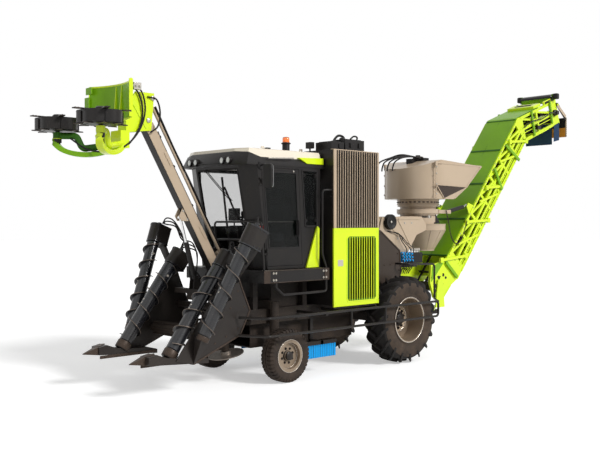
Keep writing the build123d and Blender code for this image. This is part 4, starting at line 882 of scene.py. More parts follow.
for k, y in enumerate((-0.045, -0.015, 0.015, 0.045)):
    path = [onBoom(0.16, -0.10, y), onBoom(0.34, -0.092, y), onBoom(0.9, -0.093, y), onBoom(1.6, -0.093, y),
            onBoom(2.2, -0.093, y), onBoom(2.36, -0.105, y)]
    lines.append(tube(path, 0.0105, 10, 60))
clamps = [bars(onBoom(u, -0.104, -0.06), onBoom(u, -0.104, 0.06), 0.035, 0.012, way)
          for u in (0.5, 1.15, 1.8, 2.28)]
meshObject("boomHoses", lines, "topper_boom", hoseBlack, 60)
meshObject("boomClamps", clamps, "topper_boom", charcoal, 40, 0.002)
link = np.array([3.21, 0, 1.92])
meshObject("linkHoses", [tube([link + way * u + np.array([-0.03, y, 0.012 * math.sin(5 * u + k)])
        for u in np.linspace(0.12, 2.45, 12)], 0.0095, 8, 60) for k, y in enumerate((-0.02, 0.012, 0.036))],
           "topper_link", hoseBlack, 60)
nose = [tube([(3.20, y, 1.75), (3.10, y * 1.3, 1.9), (3.05, y * 1.6, 1.75), (3.12, y * 2, 1.45),
              (3.3, y * 2.4, 1.41)], 0.012, 10, 40) for y in (0.12, 0.16, -0.12, -0.16)]
nose += [tube([(3.64, s * 0.18, 1.62), (3.57, s * 0.2, 1.66), (3.45, s * 0.22, 1.58), (3.36, s * 0.24, 1.42)],
              0.011, 10, 32) for s in (-1, 1)]
meshObject("noseHoses", nose, "chassis", hoseBlack, 60)
noseBolts = [(x, y, 1.52 if y < 0 else 1.5) for x in (3.4, 3.46) for y in (-0.26, -0.21, 0.23, 0.29)]
meshObject("noseValve", [boxes([(3.36, 3.5, -0.3, -0.18, 1.40, 1.52), (3.36, 3.5, 0.2, 0.32, 1.40, 1.5)]),
                         bolts(noseBolts, toSky, 0.011, 0.016)], "chassis", charcoal, 40, 0.003)

# Topper head: green skins on the deflector, its pale edge, the discs' drums and teeth, arms, hoses
deflector = {"x": 5.140, "half": 0.545, "sag": 0.160, "thick": 0.012, "foot": 3.800, "top": 4.306}
arcRadius = (deflector["half"] ** 2 + deflector["sag"] ** 2) / (2 * deflector["sag"])


def onArc(y):
    # x of the sheet's front face at y; the sheet is an arc whose middle lies behind its ends
    return deflector["x"] - deflector["sag"] + arcRadius - math.sqrt(max(arcRadius ** 2 - y ** 2, 0))


def arcSkin(offset, thick, y0, y1, z0, z1, count=32):
    # a sheet that follows the deflector's arc at an offset
    ys, zs = np.linspace(y0, y1, count), np.linspace(z0, z1, 6)
    top = np.array([[(onArc(y) + offset, y, z) for z in zs] for y in ys])
    return sheetGrid(top, thick)


h, low, high = deflector["half"], deflector["foot"], deflector["top"]
skins = [arcSkin(0.003, 0.003, -h, h, low, high), arcSkin(-deflector["thick"] - 0.004, -0.003, -h, h, low,
        high)]
meshObject("deflectorSkin", skins, "topper_head", coverGreen, 50)
edges = [stripAlong([(onArc(y) - 0.006, y, z) for y in np.linspace(-h, h, 24)],
                    [(-0.012, -0.01), (0.012, -0.01), (0.012, 0.01), (-0.012, 0.01)], toSky)
         for z in (low + 0.008, high - 0.004)]
edges += [boxes([(onArc(h) - 0.03, onArc(h) + 0.028, h - 0.006, h + 0.006, low, high),
                 (onArc(h) - 0.012, onArc(h) + 0.006, -h - 0.006, -h + 0.006, low, high)])]
edges += [bars((5.0, y, 3.85), (onArc(y) - 0.02, y, 4.28), 0.014, 0.06) for y in (-0.07, 0.07)]
meshObject("deflectorEdges", edges, "topper_head", lime, 40, 0.002)
tabs = [(5.16, 5.172, -0.62, -0.50, 3.9, 4.16), (5.15, 5.165, -0.60, -0.44, 4.2, 4.3)]
meshObject("deflectorTab", [boxes(tabs)], "topper_head", coverGreen, 40, 0.004)
drum = {"x": 5.610, "y": 0.576, "tooth": 0.345, "disc": 0.250, "teeth": 8, "vane": 0.390, "webs": 5}
teeth, tips, wraps = [], [], []
for i in range(drum["teeth"]):
    turn = math.pi * (2 * i + 1) / drum["teeth"]
    spread = math.pi / drum["teeth"] * 0.62
    outline = [(drum["tooth"] + 0.002, turn), (drum["disc"] - 0.012, turn - spread),
               (drum["disc"] - 0.03, turn), (drum["disc"] - 0.012, turn + spread)]
    flat = [(drum["x"] + r * math.cos(a), drum["y"] + r * math.sin(a)) for r, a in outline]
    teeth.append(extrudedPlate(flat, "z", 3.647, 3.659))
for i in range(drum["webs"]):
    turn = 2 * math.pi * i / drum["webs"]
    c, s = math.cos(turn), math.sin(turn)
    at = lambda r, z: (drum["x"] + r * c, drum["y"] + r * s, z)
    tips.append(bars(at(0.30, 3.8355), at(drum["vane"] - 0.001, 3.8355), 0.074, 0.014, (-s, c, 0)))
    wraps.append(bars(at(0.05, 3.842), at(0.3, 3.842), 0.05, 0.006, (-s, c, 0)))
    tips.append(bolts([at(0.32, 3.842), at(0.36, 3.842)], toSky, 0.009, 0.006))
wraps += [lathe([(0.0, 0), (0.07, 0), (0.07, 0.03), (0.05, 0.045), (0, 0.045)], (drum["x"], drum["y"], 3.84),
                toSky, 28),
          ringOf(0.1895, 0.1925, 0.0, 0.012, (drum["x"], drum["y"], 3.66), toSky, 48)]
wraps.append(bolts(around((drum["x"], drum["y"], 3.84), toSky, 0.1, 8), toSky, 0.009, 0.008))
a = np.radians(np.linspace(0, 360, 121)[:-1])
lobes = 0.292 + 0.016 * np.cos(drum["webs"] * (a + math.pi / drum["webs"]))
plan = [(drum["x"] + r * math.cos(t), drum["y"] + r * math.sin(t)) for r, t in zip(lobes, a)]
both("drumSkin", [extrudedPlate(plan, "z", 3.662, 3.826)], "topper_drum_", charcoal, 30, 0.003)
both("drumTeeth", teeth, "topper_drum_", brownSteel, 30)
both("drumTips", tips, "topper_drum_", brownSteel, 30)
both("drumTop", wraps, "topper_drum_", charcoal)
head = [lathe([(0, 0), (0.034, 0), (0.034, 0.014), (0.022, 0.022), (0, 0.022)], centre, toLeft, 24)
        for centre in ((4.5783, 0.107, 3.8307), (4.5083, 0.107, 4.1507))]
meshObject("headPins", head, "topper_head", galvanised)


def bentPath(points, bend, steps=8):
    # straight runs joined by arcs of one radius
    points = np.asarray(points, float)
    path = [points[0]]
    for a, b, c in zip(points[:-2], points[1:-1], points[2:]):
        u, v = (a - b) / np.linalg.norm(a - b), (c - b) / np.linalg.norm(c - b)
        angle = math.acos(u.dot(v))
        inset = bend / math.tan(angle / 2)
        middle = b + (u + v) / np.linalg.norm(u + v) * bend / math.sin(angle / 2)
        p, q = b + u * inset - middle, b + v * inset - middle
        sweep = math.acos(np.clip(p.dot(q) / bend ** 2, -1, 1))
        for t in np.linspace(0, 1, steps):
            path.append(middle + (math.sin((1 - t) * sweep) * p + math.sin(t * sweep) * q) / math.sin(sweep))
    return np.array(path + [points[-1]])


arm = bentPath([(5.61, -0.576, 3.590), (5.42, -0.396, 3.588), (5.36, -0.339, 3.410), (4.975, -0.06, 3.480)],
               0.07)
meshObject("farArm", [tube(arm, 0.0465, 20, smooth=False),
                      lathe([(0, 3.553), (0.0635, 3.553), (0.0635, 3.636), (0.05, 3.638), (0, 3.638)],
                            (5.61, -0.576, 0), toSky, 40)], "topper_head", darkGreen, 50)
strapArc = smoothPath([(5.62, 0.60, 3.545), (5.63, 0.57, 3.47), (5.56, 0.49, 3.385), (5.42, 0.37, 3.335),
                       (5.25, 0.24, 3.335), (5.08, 0.13, 3.385), (4.985, 0.085, 3.46)], 40)
strapSection = [(-0.034, -0.045), (0.034, -0.045), (0.034, 0.045), (-0.034, 0.045)]
tangent = np.gradient(strapArc, axis=0)
level = np.cross(tangent, toSky)
level /= np.linalg.norm(level, axis=1)[:, None]
outward = np.cross(level, tangent)
outward /= np.linalg.norm(outward, axis=1)[:, None]
strap = np.stack([strapArc + a * outward + b * level for a, b in strapSection], axis=1)
strap = np.concatenate([strap[:1].mean(axis=1, keepdims=True).repeat(4, 1), strap,
                        strap[-1:].mean(axis=1, keepdims=True).repeat(4, 1)])
strap = (strap.reshape(-1, 3), gridFaces(len(strap), 4, wrapColumns=True))
meshObject("armStrapNear", [strap], "topper_head", lime, 30)
# the far strap, a mirrored copy of the lime near one, in darker green: painted shade
meshObject("armStrapFarShaded", mirrored([strap]), "topper_head", coverGreen, 30)
meshObject("headRibs", [bars((4.6, s * 0.112, 3.72), (4.85, s * 0.112, 4.1), 0.008, 0.05) for s in (-1, 1)],
           "topper_head", limeFrame, 40, 0.002)
headHoses = [tube([(4.98, 0.1, 4.25), (4.85, 0.13, 4.33), (4.7, 0.14, 4.2), (4.66, 0.15, 3.95),
                   (4.74, 0.15, 3.7), (4.9, 0.14, 3.5), (5.1, 0.14, 3.38), (5.32, 0.28, 3.37),
                   (5.42, 0.33, 3.45), (5.5, 0.42, 3.56), (5.58, 0.5, 3.6)], 0.012, 10, 90),
             tube([(4.98, 0.06, 4.22), (4.83, 0.13, 4.26), (4.72, 0.135, 4.1), (4.7, 0.14, 3.85),
                   (4.8, 0.14, 3.62), (4.98, 0.1, 3.41), (5.2, 0.0, 3.36), (5.34, -0.25, 3.4),
                   (5.5, -0.42, 3.55)], 0.012, 10, 80),
             tube([(4.6, 0.12, 4.16), (4.47, 0.15, 4.13), (4.42, 0.165, 3.95), (4.46, 0.165, 3.75),
                   (4.56, 0.13, 3.66)], 0.012, 10, 48)]
meshObject("headHoses", headHoses, "topper_head", hoseBlack, 60)
meshObject("headBlock", [boxes([(4.72, 4.84, 0.09, 0.15, 4.24, 4.34)]),
                         bolts([(4.75, 0.15, 4.29), (4.81, 0.15, 4.29)], toLeft, 0.014, 0.02)], "topper_head",
           galvanised, 40, 0.003)
both("drumMotor", [lathe([(0, 0), (0.055, 0), (0.055, 0.05), (0.035, 0.06), (0.035, 0.075), (0, 0.075)],
                         (5.61, 0.576, 3.545), (0, 0, -1), 24)], "topper_head", charcoal)
print("topper made")

# Cab: the dark band under the cream roof, lamps, beacon, wipers, seals, door trim, mirrors
roof = {"low": 3.25, "high": 3.49}
lowPlan = np.array([(1.76, -0.79), (3.08, -0.79), (3.33, -0.79), (3.42, -0.56), (3.42, 0.56), (3.33, 0.79),
                    (3.08, 0.79), (1.76, 0.79)])
highPlan = np.array([(1.80, -0.72), (3.01, -0.72), (3.24, -0.72), (3.33, -0.50), (3.33, 0.50), (3.24, 0.72),
                     (3.01, 0.72), (1.80, 0.72)])
roofMiddle = np.array([2.6, 0.0])


def roofRing(heights, grow):
    # the roof's plan at each height, between the low and the high plan, grown away from its middle
    share = ((np.asarray(heights) - roof["low"]) / (roof["high"] - roof["low"]))[:, None]
    plan = lowPlan + (highPlan - lowPlan) * share
    way = plan - roofMiddle
    plan = plan + way / np.linalg.norm(way, axis=1)[:, None] * grow
    return np.column_stack([plan, heights])


topLine = np.array([3.365, 3.365, 3.43, 3.445, 3.445, 3.43, 3.365, 3.365])
band = [roofRing(np.full(8, 3.235), 0.012), roofRing(np.full(8, 3.262), 0.02),
        roofRing(topLine - 0.012, 0.016), roofRing(topLine, 0.006), roofRing(topLine - 0.01, -0.03),
        roofRing(np.full(8, 3.235), -0.05)]
meshObject("roofBand", [(np.concatenate(band), gridFaces(6, 8, wrapRows=True, wrapColumns=True))], "chassis",
           charcoal, 30, 0.006)
crown = [roofRing(np.full(8, z), g) for z, g in ((3.485, 0.003), (3.493, -0.02), (3.499, -0.1), (3.5, -0.3))]
crown.append(np.tile([2.6, 0, 3.5], (8, 1)))
meshObject("roofCrown", [(np.concatenate(crown), gridFaces(5, 8, wrapColumns=True))], "chassis", cream, 60)
wedge = [(2.31, 3.385), (1.775, 3.40), (1.775, 3.30), (2.13, 3.30)]
both("roofWedge", [extrudedPlate(wedge, "y", 0.75, 0.803)], "chassis", lime, 30, 0.004)
both("roofHandle", [tube([(2.93, 0.80, 3.345), (2.91, 0.825, 3.35), (2.6, 0.826, 3.362), (2.46, 0.825, 3.37),
                          (2.44, 0.80, 3.372)], 0.010, 10, 30)], "chassis", galvanised, 50)
lensGlow, tree, shader = newMaterial("lampLens")
shader.inputs["Coat Weight"].default_value = 1.0
ribs = tree.nodes.new("ShaderNodeTexWave")
ribs.inputs["Scale"].default_value = 22
tree.links.new(tree.nodes.new("ShaderNodeTexCoord").outputs["Object"], ribs.inputs["Vector"])
tree.links.new(mixColour(tree, ribs.outputs["Fac"], linear(150, 152, 150), linear(226, 228, 224)),
               shader.inputs["Base Color"])
tree.links.new(remap(tree, ribs.outputs["Fac"], 0, 1, 0.08, 0.2), shader.inputs["Roughness"])


def lensMaterial(name, colour, glow):
    # the clear lens in another colour, with a faint glow of its own
    material = lensGlow.copy()
    material.name = name
    tree = material.node_tree
    shader = tree.nodes["Principled BSDF"]
    tree.links.remove(shader.inputs["Base Color"].links[0])
    film = noise(tree, tree.nodes.new("ShaderNodeTexCoord").outputs["Object"], 40, 3)
    tree.links.new(mixColour(tree, film, colour, tuple(0.7 * c for c in colour)), shader.inputs["Base Color"])
    shader.inputs["Emission Color"].default_value = (*colour, 1)
    shader.inputs["Emission Strength"].default_value = glow
    return material


amber = lensMaterial("amberLens", linear(255, 122, 20), 0.25)
redLens = lensMaterial("redLens", linear(196, 34, 26), 0.1)
housings, lenses = [], []
for y in (-0.479, -0.325, 0.325, 0.479):
    housings.append(lathe([(0.0, 3.36), (0.052, 3.36), (0.056, 3.41), (0.056, 3.452), (0.048, 3.455),
                           (0.046, 3.444), (0.0, 3.444)], (0, y, 3.313), toFront, 36))
    lenses.append(lathe([(0.0, 3.450), (0.03, 3.449), (0.046, 3.445), (0.0, 3.4445)], (0, y, 3.313), toFront,
                        36))
for x, y, z in ((1.84, 0.55, 3.62), (1.84, -0.5, 3.60)):
    housings.append(boxes([(x - 0.05, x + 0.03, y - 0.06, y + 0.06, z - 0.05, z + 0.05),
                           (x - 0.02, x, y - 0.01, y + 0.01, 3.48, z - 0.05)]))
housings.append(bars((3.42, -0.42, 3.28), (3.42, 0.42, 3.28), 0.03, 0.012, toFront))
meshObject("roofLamps", housings, "chassis", charcoal, 40, 0.003)
meshObject("roofLenses", lenses, "chassis", lensGlow, 50)
beaconAt = (1.90, 0.06, 0)
beacon = {"beaconBase": (plastic, 40, [(0, 3.48), (0.0625, 3.48), (0.0625, 3.495), (0.061, 3.5), (0.061, 3.66),
        (0.06, 3.663), (0.078, 3.673), (0.078, 3.685), (0.056, 3.698), (0, 3.698)]),
          "beaconDome": (amber, 50, [(0.0565, 3.695), (0.058, 3.71), (0.058, 3.762), (0.05, 3.774),
        (0.02, 3.778), (0, 3.778)]),
          "beaconCap": (plastic, 50, [(0, 3.776), (0.05, 3.7735), (0.052, 3.778), (0.03, 3.7835),
        (0, 3.7845)])}
for name, (material, smooth, profile) in beacon.items():
    meshObject(name, [lathe(profile, beaconAt, toSky, 36)], "chassis", material, smooth)


def onScreen(y, z, off=0.0):
    # a point on the outside of the windscreen
    return (3.030 + (z - 1.95) * 0.192 + off, y, z)


wipers = []
for y in (-0.28, -0.24):
    wipers.append(tube([onScreen(y, 3.2, 0.03), onScreen(y + 0.2, 3.0, 0.025), onScreen(y + 0.5, 2.72, 0.012)],
                       0.007, 8, 12))
wipers.append(bars(onScreen(0.12, 2.93, 0.008), onScreen(0.34, 2.42, 0.008), 0.008, 0.03, toLeft))
meshObject("wipers", wipers, "chassis", hoseBlack)
seals = []
ring = [onScreen(y, z) for y, z in ((-0.492, 1.948), (0.492, 1.948), (0.492, 3.192), (-0.492, 3.192))]
seals.append(edgeBars(ring, 0.03, 0.03, toFront))
seals += [bars((2.87, -0.2, 2.0), (3.02, -0.2, 3.1), 0.02, 0.03),
          bars((1.9, 0.811, 2.33), (2.17, 0.811, 2.33), 0.02, 0.02)]
seals.append(edgeBars(onSide(0.802, ((1.925, 2.335), (2.175, 2.335), (2.245, 3.195), (1.925, 3.195))), 0.016,
                      0.022))
meshObject("windowSeals", seals, "chassis", hoseBlack, 40, 0.003)
doorTrim = [edgeBars(onSide(0.801, ((3.035, 3.145), (2.37, 3.145), (2.305, 2.01), (2.915, 2.01))), 0.012,
                     0.02)]
doorTrim += [boxes([(2.33, 2.37, 0.80, 0.835, 2.2, 2.4)]),
             tube([(2.35, 0.80, 2.42), (2.35, 0.85, 2.40), (2.35, 0.85, 2.22), (2.35, 0.80, 2.2)], 0.011, 10,
                  24)]
meshObject("doorTrim", doorTrim, "door", hoseBlack, 40, 0.003)
doorBars = [tube([(2.97, 0.755, 2.40), (2.94, 0.735, 2.40), (2.42, 0.735, 2.40), (2.39, 0.755, 2.40)], 0.011,
                 10, 24),
            tube([(2.93, 0.755, 1.99), (2.90, 0.735, 1.90), (2.84, 0.735, 1.87), (2.42, 0.735, 1.865),
                  (2.38, 0.755, 1.865)], 0.011, 10, 30)]
doorBars.append(bolts([(2.42, 0.80, 3.17), (2.98, 0.80, 3.17)], toLeft, 0.009, 0.006))
meshObject("doorBars", doorBars, "door", galvanised, 50)
knobs = [bolts(onSide(0.80, ((2.20, 3.12), (1.96, 3.12), (2.16, 2.42), (1.96, 2.42))), toLeft, 0.018, 0.016)]
meshObject("windowKnobs", knobs, "chassis", charcoal)
fin = [(1.94, 2.335), (2.178, 1.69), (1.905, 1.69), (1.895, 2.30)]
meshObject("cabFin", [extrudedPlate(fin, "y", 0.803, 0.835)], "chassis", lime, 30, 0.004)
meshObject("redLamp", [boxes([(3.155, 3.175, 0.86, 0.94, 2.22, 2.34)])], "chassis", redLens, 40, 0.004)
lampBack = [(3.15, 3.157, 0.85, 0.95, 2.21, 2.35), (3.12, 3.157, 0.90, 0.94, 2.25, 2.31)]
meshObject("redLampBack", [boxes(lampBack)], "chassis", charcoal, 40, 0.002)


def roundedBox(centre, half, power=5.0, rows=24, columns=36):
    # a superellipsoid: a box with softly crowned faces and rounded corners
    u = np.linspace(-math.pi / 2, math.pi / 2, rows)
    v = np.linspace(-math.pi, math.pi, columns, endpoint=False)
    bend = lambda s: np.sign(s) * np.abs(s) ** (2 / power)
    x = bend(np.cos(u))[:, None] * bend(np.cos(v))[None]
    y = bend(np.cos(u))[:, None] * bend(np.sin(v))[None]
    z = np.repeat(bend(np.sin(u))[:, None], columns, 1)
    return (np.stack([x, y, z], axis=-1) * np.asarray(half) + np.asarray(centre)).reshape(-1, 3), \
        gridFaces(rows, columns, wrapColumns=True)


mirrorParts = [roundedBox((3.205, 1.10, 3.06), (0.028, 0.094, 0.179), 5),
               tube([(3.10, 0.80, 3.225), (3.10, 0.86, 3.235), (3.13, 0.93, 3.235), (3.19, 1.03, 3.225),
                     (3.2, 1.06, 3.15)], 0.0125, 12, 40),
               bars((3.05, 0.805, 3.20), (3.14, 0.805, 3.25), 0.02, 0.08),
               roundedBox((2.87, -1.045, 3.11), (0.024, 0.083, 0.109), 5),
               tube([(2.87, -0.80, 3.205), (2.87, -0.9, 3.215), (2.87, -1.0, 3.205), (2.87, -1.03, 3.15)],
                    0.0125, 12, 24)]
piece = meshObject("mirrorShells", mirrorParts, "chassis", plastic, 50)
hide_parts("mirrors")
meshObject("mirrorFaces", [roundedBox((3.176, 1.10, 3.06), (0.003, 0.084, 0.168), 6),
                           roundedBox((2.845, -1.045, 3.11), (0.003, 0.073, 0.1), 6)], "chassis", chrome, 50)

# Seat: crowned cushions in a ribbed cloth, and the things round it
cloth, tree, shader = newMaterial("seatCloth")
weave = tree.nodes.new("ShaderNodeTexWave")
weave.inputs["Scale"].default_value = 60
tree.links.new(tree.nodes.new("ShaderNodeTexCoord").outputs["Object"], weave.inputs["Vector"])
tree.links.new(mixColour(tree, weave.outputs["Fac"], linear(24, 27, 32), linear(52, 56, 62)),
               shader.inputs["Base Color"])
tree.links.new(remap(tree, weave.outputs["Fac"], 0, 1, 0.95, 0.75), shader.inputs["Roughness"])
bump = tree.nodes.new("ShaderNodeBump")
bump.inputs["Distance"].default_value = 0.002
tree.links.new(weave.outputs["Fac"], bump.inputs["Height"])
tree.links.new(bump.outputs[0], shader.inputs["Normal"])


def cushion(name, centre, half, bolster, axis):
    # a padded form whose middle sinks between raised side bolsters, seamed where they meet
    points, faces = roundedBox(centre, half, 4.0, 32, 48)
    local = (points - np.asarray(centre)) / np.asarray(half)
    seam = np.exp(-((np.abs(local[:, 1]) - 0.62) / 0.07) ** 2)
    rise = bolster * np.clip(np.abs(local[:, 1]) - 0.55, 0, 1) * 2 - 0.5 * bolster * seam
    points[:, axis] += rise * (local[:, axis] > 0.1)
    piece = meshObject(name, [(points, faces)], "chassis", cloth, 60)


cushion("seatCushion", (2.295, 0, 2.125), (0.28, 0.275, 0.085), 0.03, 2)
cushion("seatBack", (2.02, 0, 2.46), (0.085, 0.265, 0.34), 0.03, 0)
cushion("seatHead", (2.02, 0, 2.86), (0.06, 0.14, 0.085), 0.0, 0)
cabThings = [boxes([(2.1, 2.5, -0.34, -0.26, 2.32, 2.38), (2.1, 2.5, 0.26, 0.34, 2.32, 2.38),
                    (2.42, 2.62, -0.52, -0.30, 1.72, 2.34), (2.1, 2.62, -0.5, -0.36, 2.2, 2.34),
                    (2.55, 2.59, -0.58, -0.32, 2.42, 2.62), (2.56, 2.58, -0.46, -0.44, 2.3, 2.45),
                    (2.05, 2.14, 0.28, 0.32, 1.9, 2.36)]),
             tube([(2.5, -0.33, 2.36), (2.5, -0.33, 2.45), (2.49, -0.33, 2.5)], 0.018, 12, 12),
             roundedBox((2.49, -0.33, 2.53), (0.028, 0.028, 0.045), 3, 12, 20),
             boxes([(1.9, 2.02, -0.72, -0.3, 1.75, 2.15), (1.92, 2.0, 0.35, 0.7, 1.75, 2.05),
                    (2.86, 2.9, -0.3, 0.3, 1.74, 1.95)]),
             bars([(2.75, 0.12, 1.73), (2.75, -0.12, 1.73)], [(2.88, 0.12, 1.86), (2.88, -0.12, 1.86)], 0.1,
                  0.02)]
meshObject("cabFittings", cabThings, "chassis", plastic, 40, 0.006, slot="cab_trim")
rim = [(0.178 + 0.0145 * math.cos(t), 0.0145 * math.sin(t)) for t in np.linspace(0, 2 * math.pi, 17)]
meshObject("steeringRim", [lathe(rim, (2.626, 0, 2.42), (-12, 0, 40), 64)], "chassis", hoseBlack, 60,
           slot="cab_trim")

# Platform: its edges and end plates, bolts, tread strips, and the mat in the cab
platform = {"rear": 1.80, "front": 3.15, "low": 1.50, "top": 1.68}
edges = [boxes([(3.03, 3.152, 0.949, 0.956, platform["low"], platform["top"]),
                (platform["rear"], 1.90, 0.949, 0.956, platform["low"], platform["top"]),
                (platform["rear"], platform["front"], 0.945, 0.954, 1.672, 1.684),
                (platform["rear"], platform["front"], 0.945, 0.954, 1.496, 1.508)])]
heads = [bolts([(x, 0.956, z) for x in (2.97, 2.92, 1.93, 1.87) for z in (1.54, 1.64)], toLeft, 0.011, 0.009)]
both("platformEdges", edges, "chassis", brownSteel, 40, 0.002, slot="chassis_black")
both("platformBolts", heads, "chassis", galvanised)
treads = [(x, x + 0.008, 0.815, 0.945, platform["top"], 1.684) for x in np.arange(1.86, 3.12, 0.06)]
both("platformTread", [boxes(treads)], "chassis", galvanised)
meshObject("floorMat", [boxes([(1.9, 2.9, -0.74, 0.74, 1.7205, 1.7245)])], "chassis", hoseBlack, 40, 0.001,
           slot="cab_trim")
print("cab made")

# Module: dark front and top, boxes on it, posts, pale louvre blades, the side panel's grille
module = {"rear": 0.690, "front": 1.743, "blades": 17}
dark = [boxes([(1.743, 1.747, -1.0, 1.0, 2.30, 3.536), (0.69, 1.743, -0.93, 0.93, 3.536, 3.541),
               (0.894, 1.346, 0.554, 0.866, 3.541, 3.730), (1.414, 1.706, 0.554, 0.906, 3.541, 3.670),
               (0.686, 0.690, -1.0, 1.0, 2.30, 3.536)])]
meshObject("moduleDark", dark, "chassis", charcoal, 40, 0.003)
lidParts = [boxes([(0.93, 1.30, 0.59, 0.83, 3.730, 3.742), (1.45, 1.67, 0.59, 0.87, 3.670, 3.682),
                   (1.0, 1.04, 0.86, 0.885, 3.60, 3.68), (1.2, 1.24, 0.86, 0.885, 3.60, 3.68),
                   (1.5, 1.54, 0.90, 0.92, 3.57, 3.64)]),
            tube([(1.10, 0.62, 3.735), (1.12, 0.60, 3.80), (1.25, 0.62, 3.81), (1.38, 0.66, 3.74),
                  (1.45, 0.7, 3.68)], 0.02, 12, 30),
            tube([(1.0, 0.8, 3.74), (1.02, 0.82, 3.785), (1.12, 0.84, 3.79), (1.2, 0.84, 3.74)], 0.014, 10,
                 24),
            lathe([(0, 3.735), (0.05, 3.735), (0.05, 3.76), (0.03, 3.775), (0, 3.775)], (1.22, 0.68, 0), toSky,
                  24)]
meshObject("moduleBoxes", lidParts, "chassis", plastic, 40, 0.003)
seams = boxes([(1.747, 1.753, y - 0.008, y + 0.008, 2.32, 3.52) for y in (-0.62, 0.0, 0.62)]
              + [(1.747, 1.753, -0.98, 0.98, z - 0.006, z + 0.006) for z in (2.9, 3.3)])
heads = [(1.747, y, z) for y in (-0.95, 0.95, 0.66, -0.66) for z in (2.4, 2.8, 3.2, 3.48)]
meshObject("moduleSeams", [seams, bolts(heads, toFront, 0.01, 0.008)], "chassis", charcoal, 40, 0.001)
posts = boxes([(1.690, 1.748, 0.985, 1.008, 2.302, 3.542), (0.686, 0.722, 0.985, 1.008, 2.302, 3.542),
               (0.70, 1.74, 0.985, 1.004, 3.530, 3.542), (0.69, 1.747, 0.93, 0.99, 3.536, 3.546)])
both("louvrePosts", [posts], "chassis", tan, 40, 0.003)
blades = [(x - 0.0055, x + 0.0055, 0.999, 1.007, 2.308, 3.528)
          for x in np.linspace(module["rear"] + 0.075, module["front"] - 0.09, module["blades"])]
both("louvreBlades", [boxes(blades)], "chassis", tan)
grille = {"x0": 0.753, "x1": 1.440, "z0": 1.135, "z1": 2.170, "corner": 0.05, "slots": 12}


def roundedOutline(x0, x1, z0, z1, r, count=6):
    # corners in turn, each a quarter circle
    points = []
    for cx, cz, first in ((x1 - r, z1 - r, 0), (x0 + r, z1 - r, 90), (x0 + r, z0 + r, 180),
                          (x1 - r, z0 + r, 270)):
        for a in np.radians(np.linspace(first, first + 90, count)):
            points.append((cx + r * math.cos(a), cz + r * math.sin(a)))
    return points


g = grille
meshGreen = paint("meshGreenPaint", (64, 124, 14), blotch=0.2, wear=0.1, rough=0.5)
both("panelMesh", [boxes([(g["x0"] + 0.006, g["x1"] - 0.006, 0.9985, 1.003, g["z0"] + 0.03, g["z1"] - 0.03),
                          (g["x0"] + 0.03, g["x1"] - 0.03, 0.9985, 1.003, g["z0"] + 0.006, g["z1"] - 0.006)])],
     "chassis", meshGreen, 30)
inner, outer = [np.array(roundedOutline(g["x0"] - grow, g["x1"] + grow, g["z0"] - grow, g["z1"] + grow,
        corner)) for grow, corner in ((-0.004, g["corner"]), (0.014, g["corner"] + 0.012))]
rings = [np.column_stack([r[:, 0], np.full(len(r), y), r[:, 1]])
         for r, y in ((inner, 0.999), (inner, 1.006), (outer, 1.006), (outer, 0.999))]
grilleFrame = (np.concatenate(rings), gridFaces(4, len(inner), wrapRows=True, wrapColumns=True))
step = (g["x1"] - g["x0"]) / g["slots"]
ribs = [(g["x0"] + step * i - 0.0065, g["x0"] + step * i + 0.0065, 1.0, 1.008, g["z0"] + 0.01, g["z1"] - 0.01)
        for i in range(1, g["slots"])]
both("panelGrille", [grilleFrame, boxes(ribs)], "chassis", lime, 40, 0.002)
both("panelLatch", [boxes([(1.535, 1.655, 0.9995, 1.004, 1.70, 1.80)])], "chassis", galvanised, 40, 0.002)
both("panelEdges", [boxes([(0.686, 1.747, 0.998, 1.006, 2.276, 2.302),
                           (0.686, 0.704, 0.998, 1.004, 1.06, 2.28),
                           (1.728, 1.747, 0.998, 1.004, 1.06, 2.28)]),
                    bolts([(x, 1.0, z) for x in (0.73, 1.70) for z in (1.12, 1.5, 1.9, 2.24)], toLeft, 0.009,
                          0.006)], "chassis", limeFrame, 40, 0.001)
both("moduleFoot", [boxes([(0.72, 1.72, 0.93, 0.975, 1.03, 1.075)])], "chassis", charcoal, 40, 0.003)
both("stripHanger", [boxes([(1.480, 2.150, 0.774, 0.806, 0.470, 0.530),
                            (1.780, 1.840, 0.53, 0.806, 0.470, 0.530),
                            (1.780, 1.840, 0.510, 0.570, 0.470, 0.868)])], "chassis", charcoal, 40, 0.002)
gaps = [(x - 0.001, x + 0.001 + 0.004 * (i % 3 == 0), 0.7935, 0.7955, 0.266, 0.47)
        for i, x in enumerate(1.54 + 0.05 * np.arange(12))]
both("stripShade", [boxes(gaps)], "chassis", hoseBlack)
print("module made")

# Extractor: hood seams, a dark plate of painted shade on the hood's fold, rings, motor, hoses, neck slots,
# disc, ribs, valve block
neck = {"x": -1.60, "band": -1.74}
hoodParts = [boxes([(-1.366, -1.350, 0.616, 0.625, 2.84, 3.455), (-1.39, -1.33, 0.60, 0.632, 3.44, 3.52)]),
             bars((-1.36, 0.621, 3.50), (-2.78, 0.621, 3.487), 0.012, 0.03),
             bars((-2.79, 0.621, 3.485), (-2.33, 0.621, 3.09), 0.014, 0.026),
             bars((-2.33, 0.621, 3.085), (-1.92, 0.621, 2.845), 0.014, 0.026)]
both("hoodSeams", hoodParts, "extractor_hood", tan, 40, 0.002)
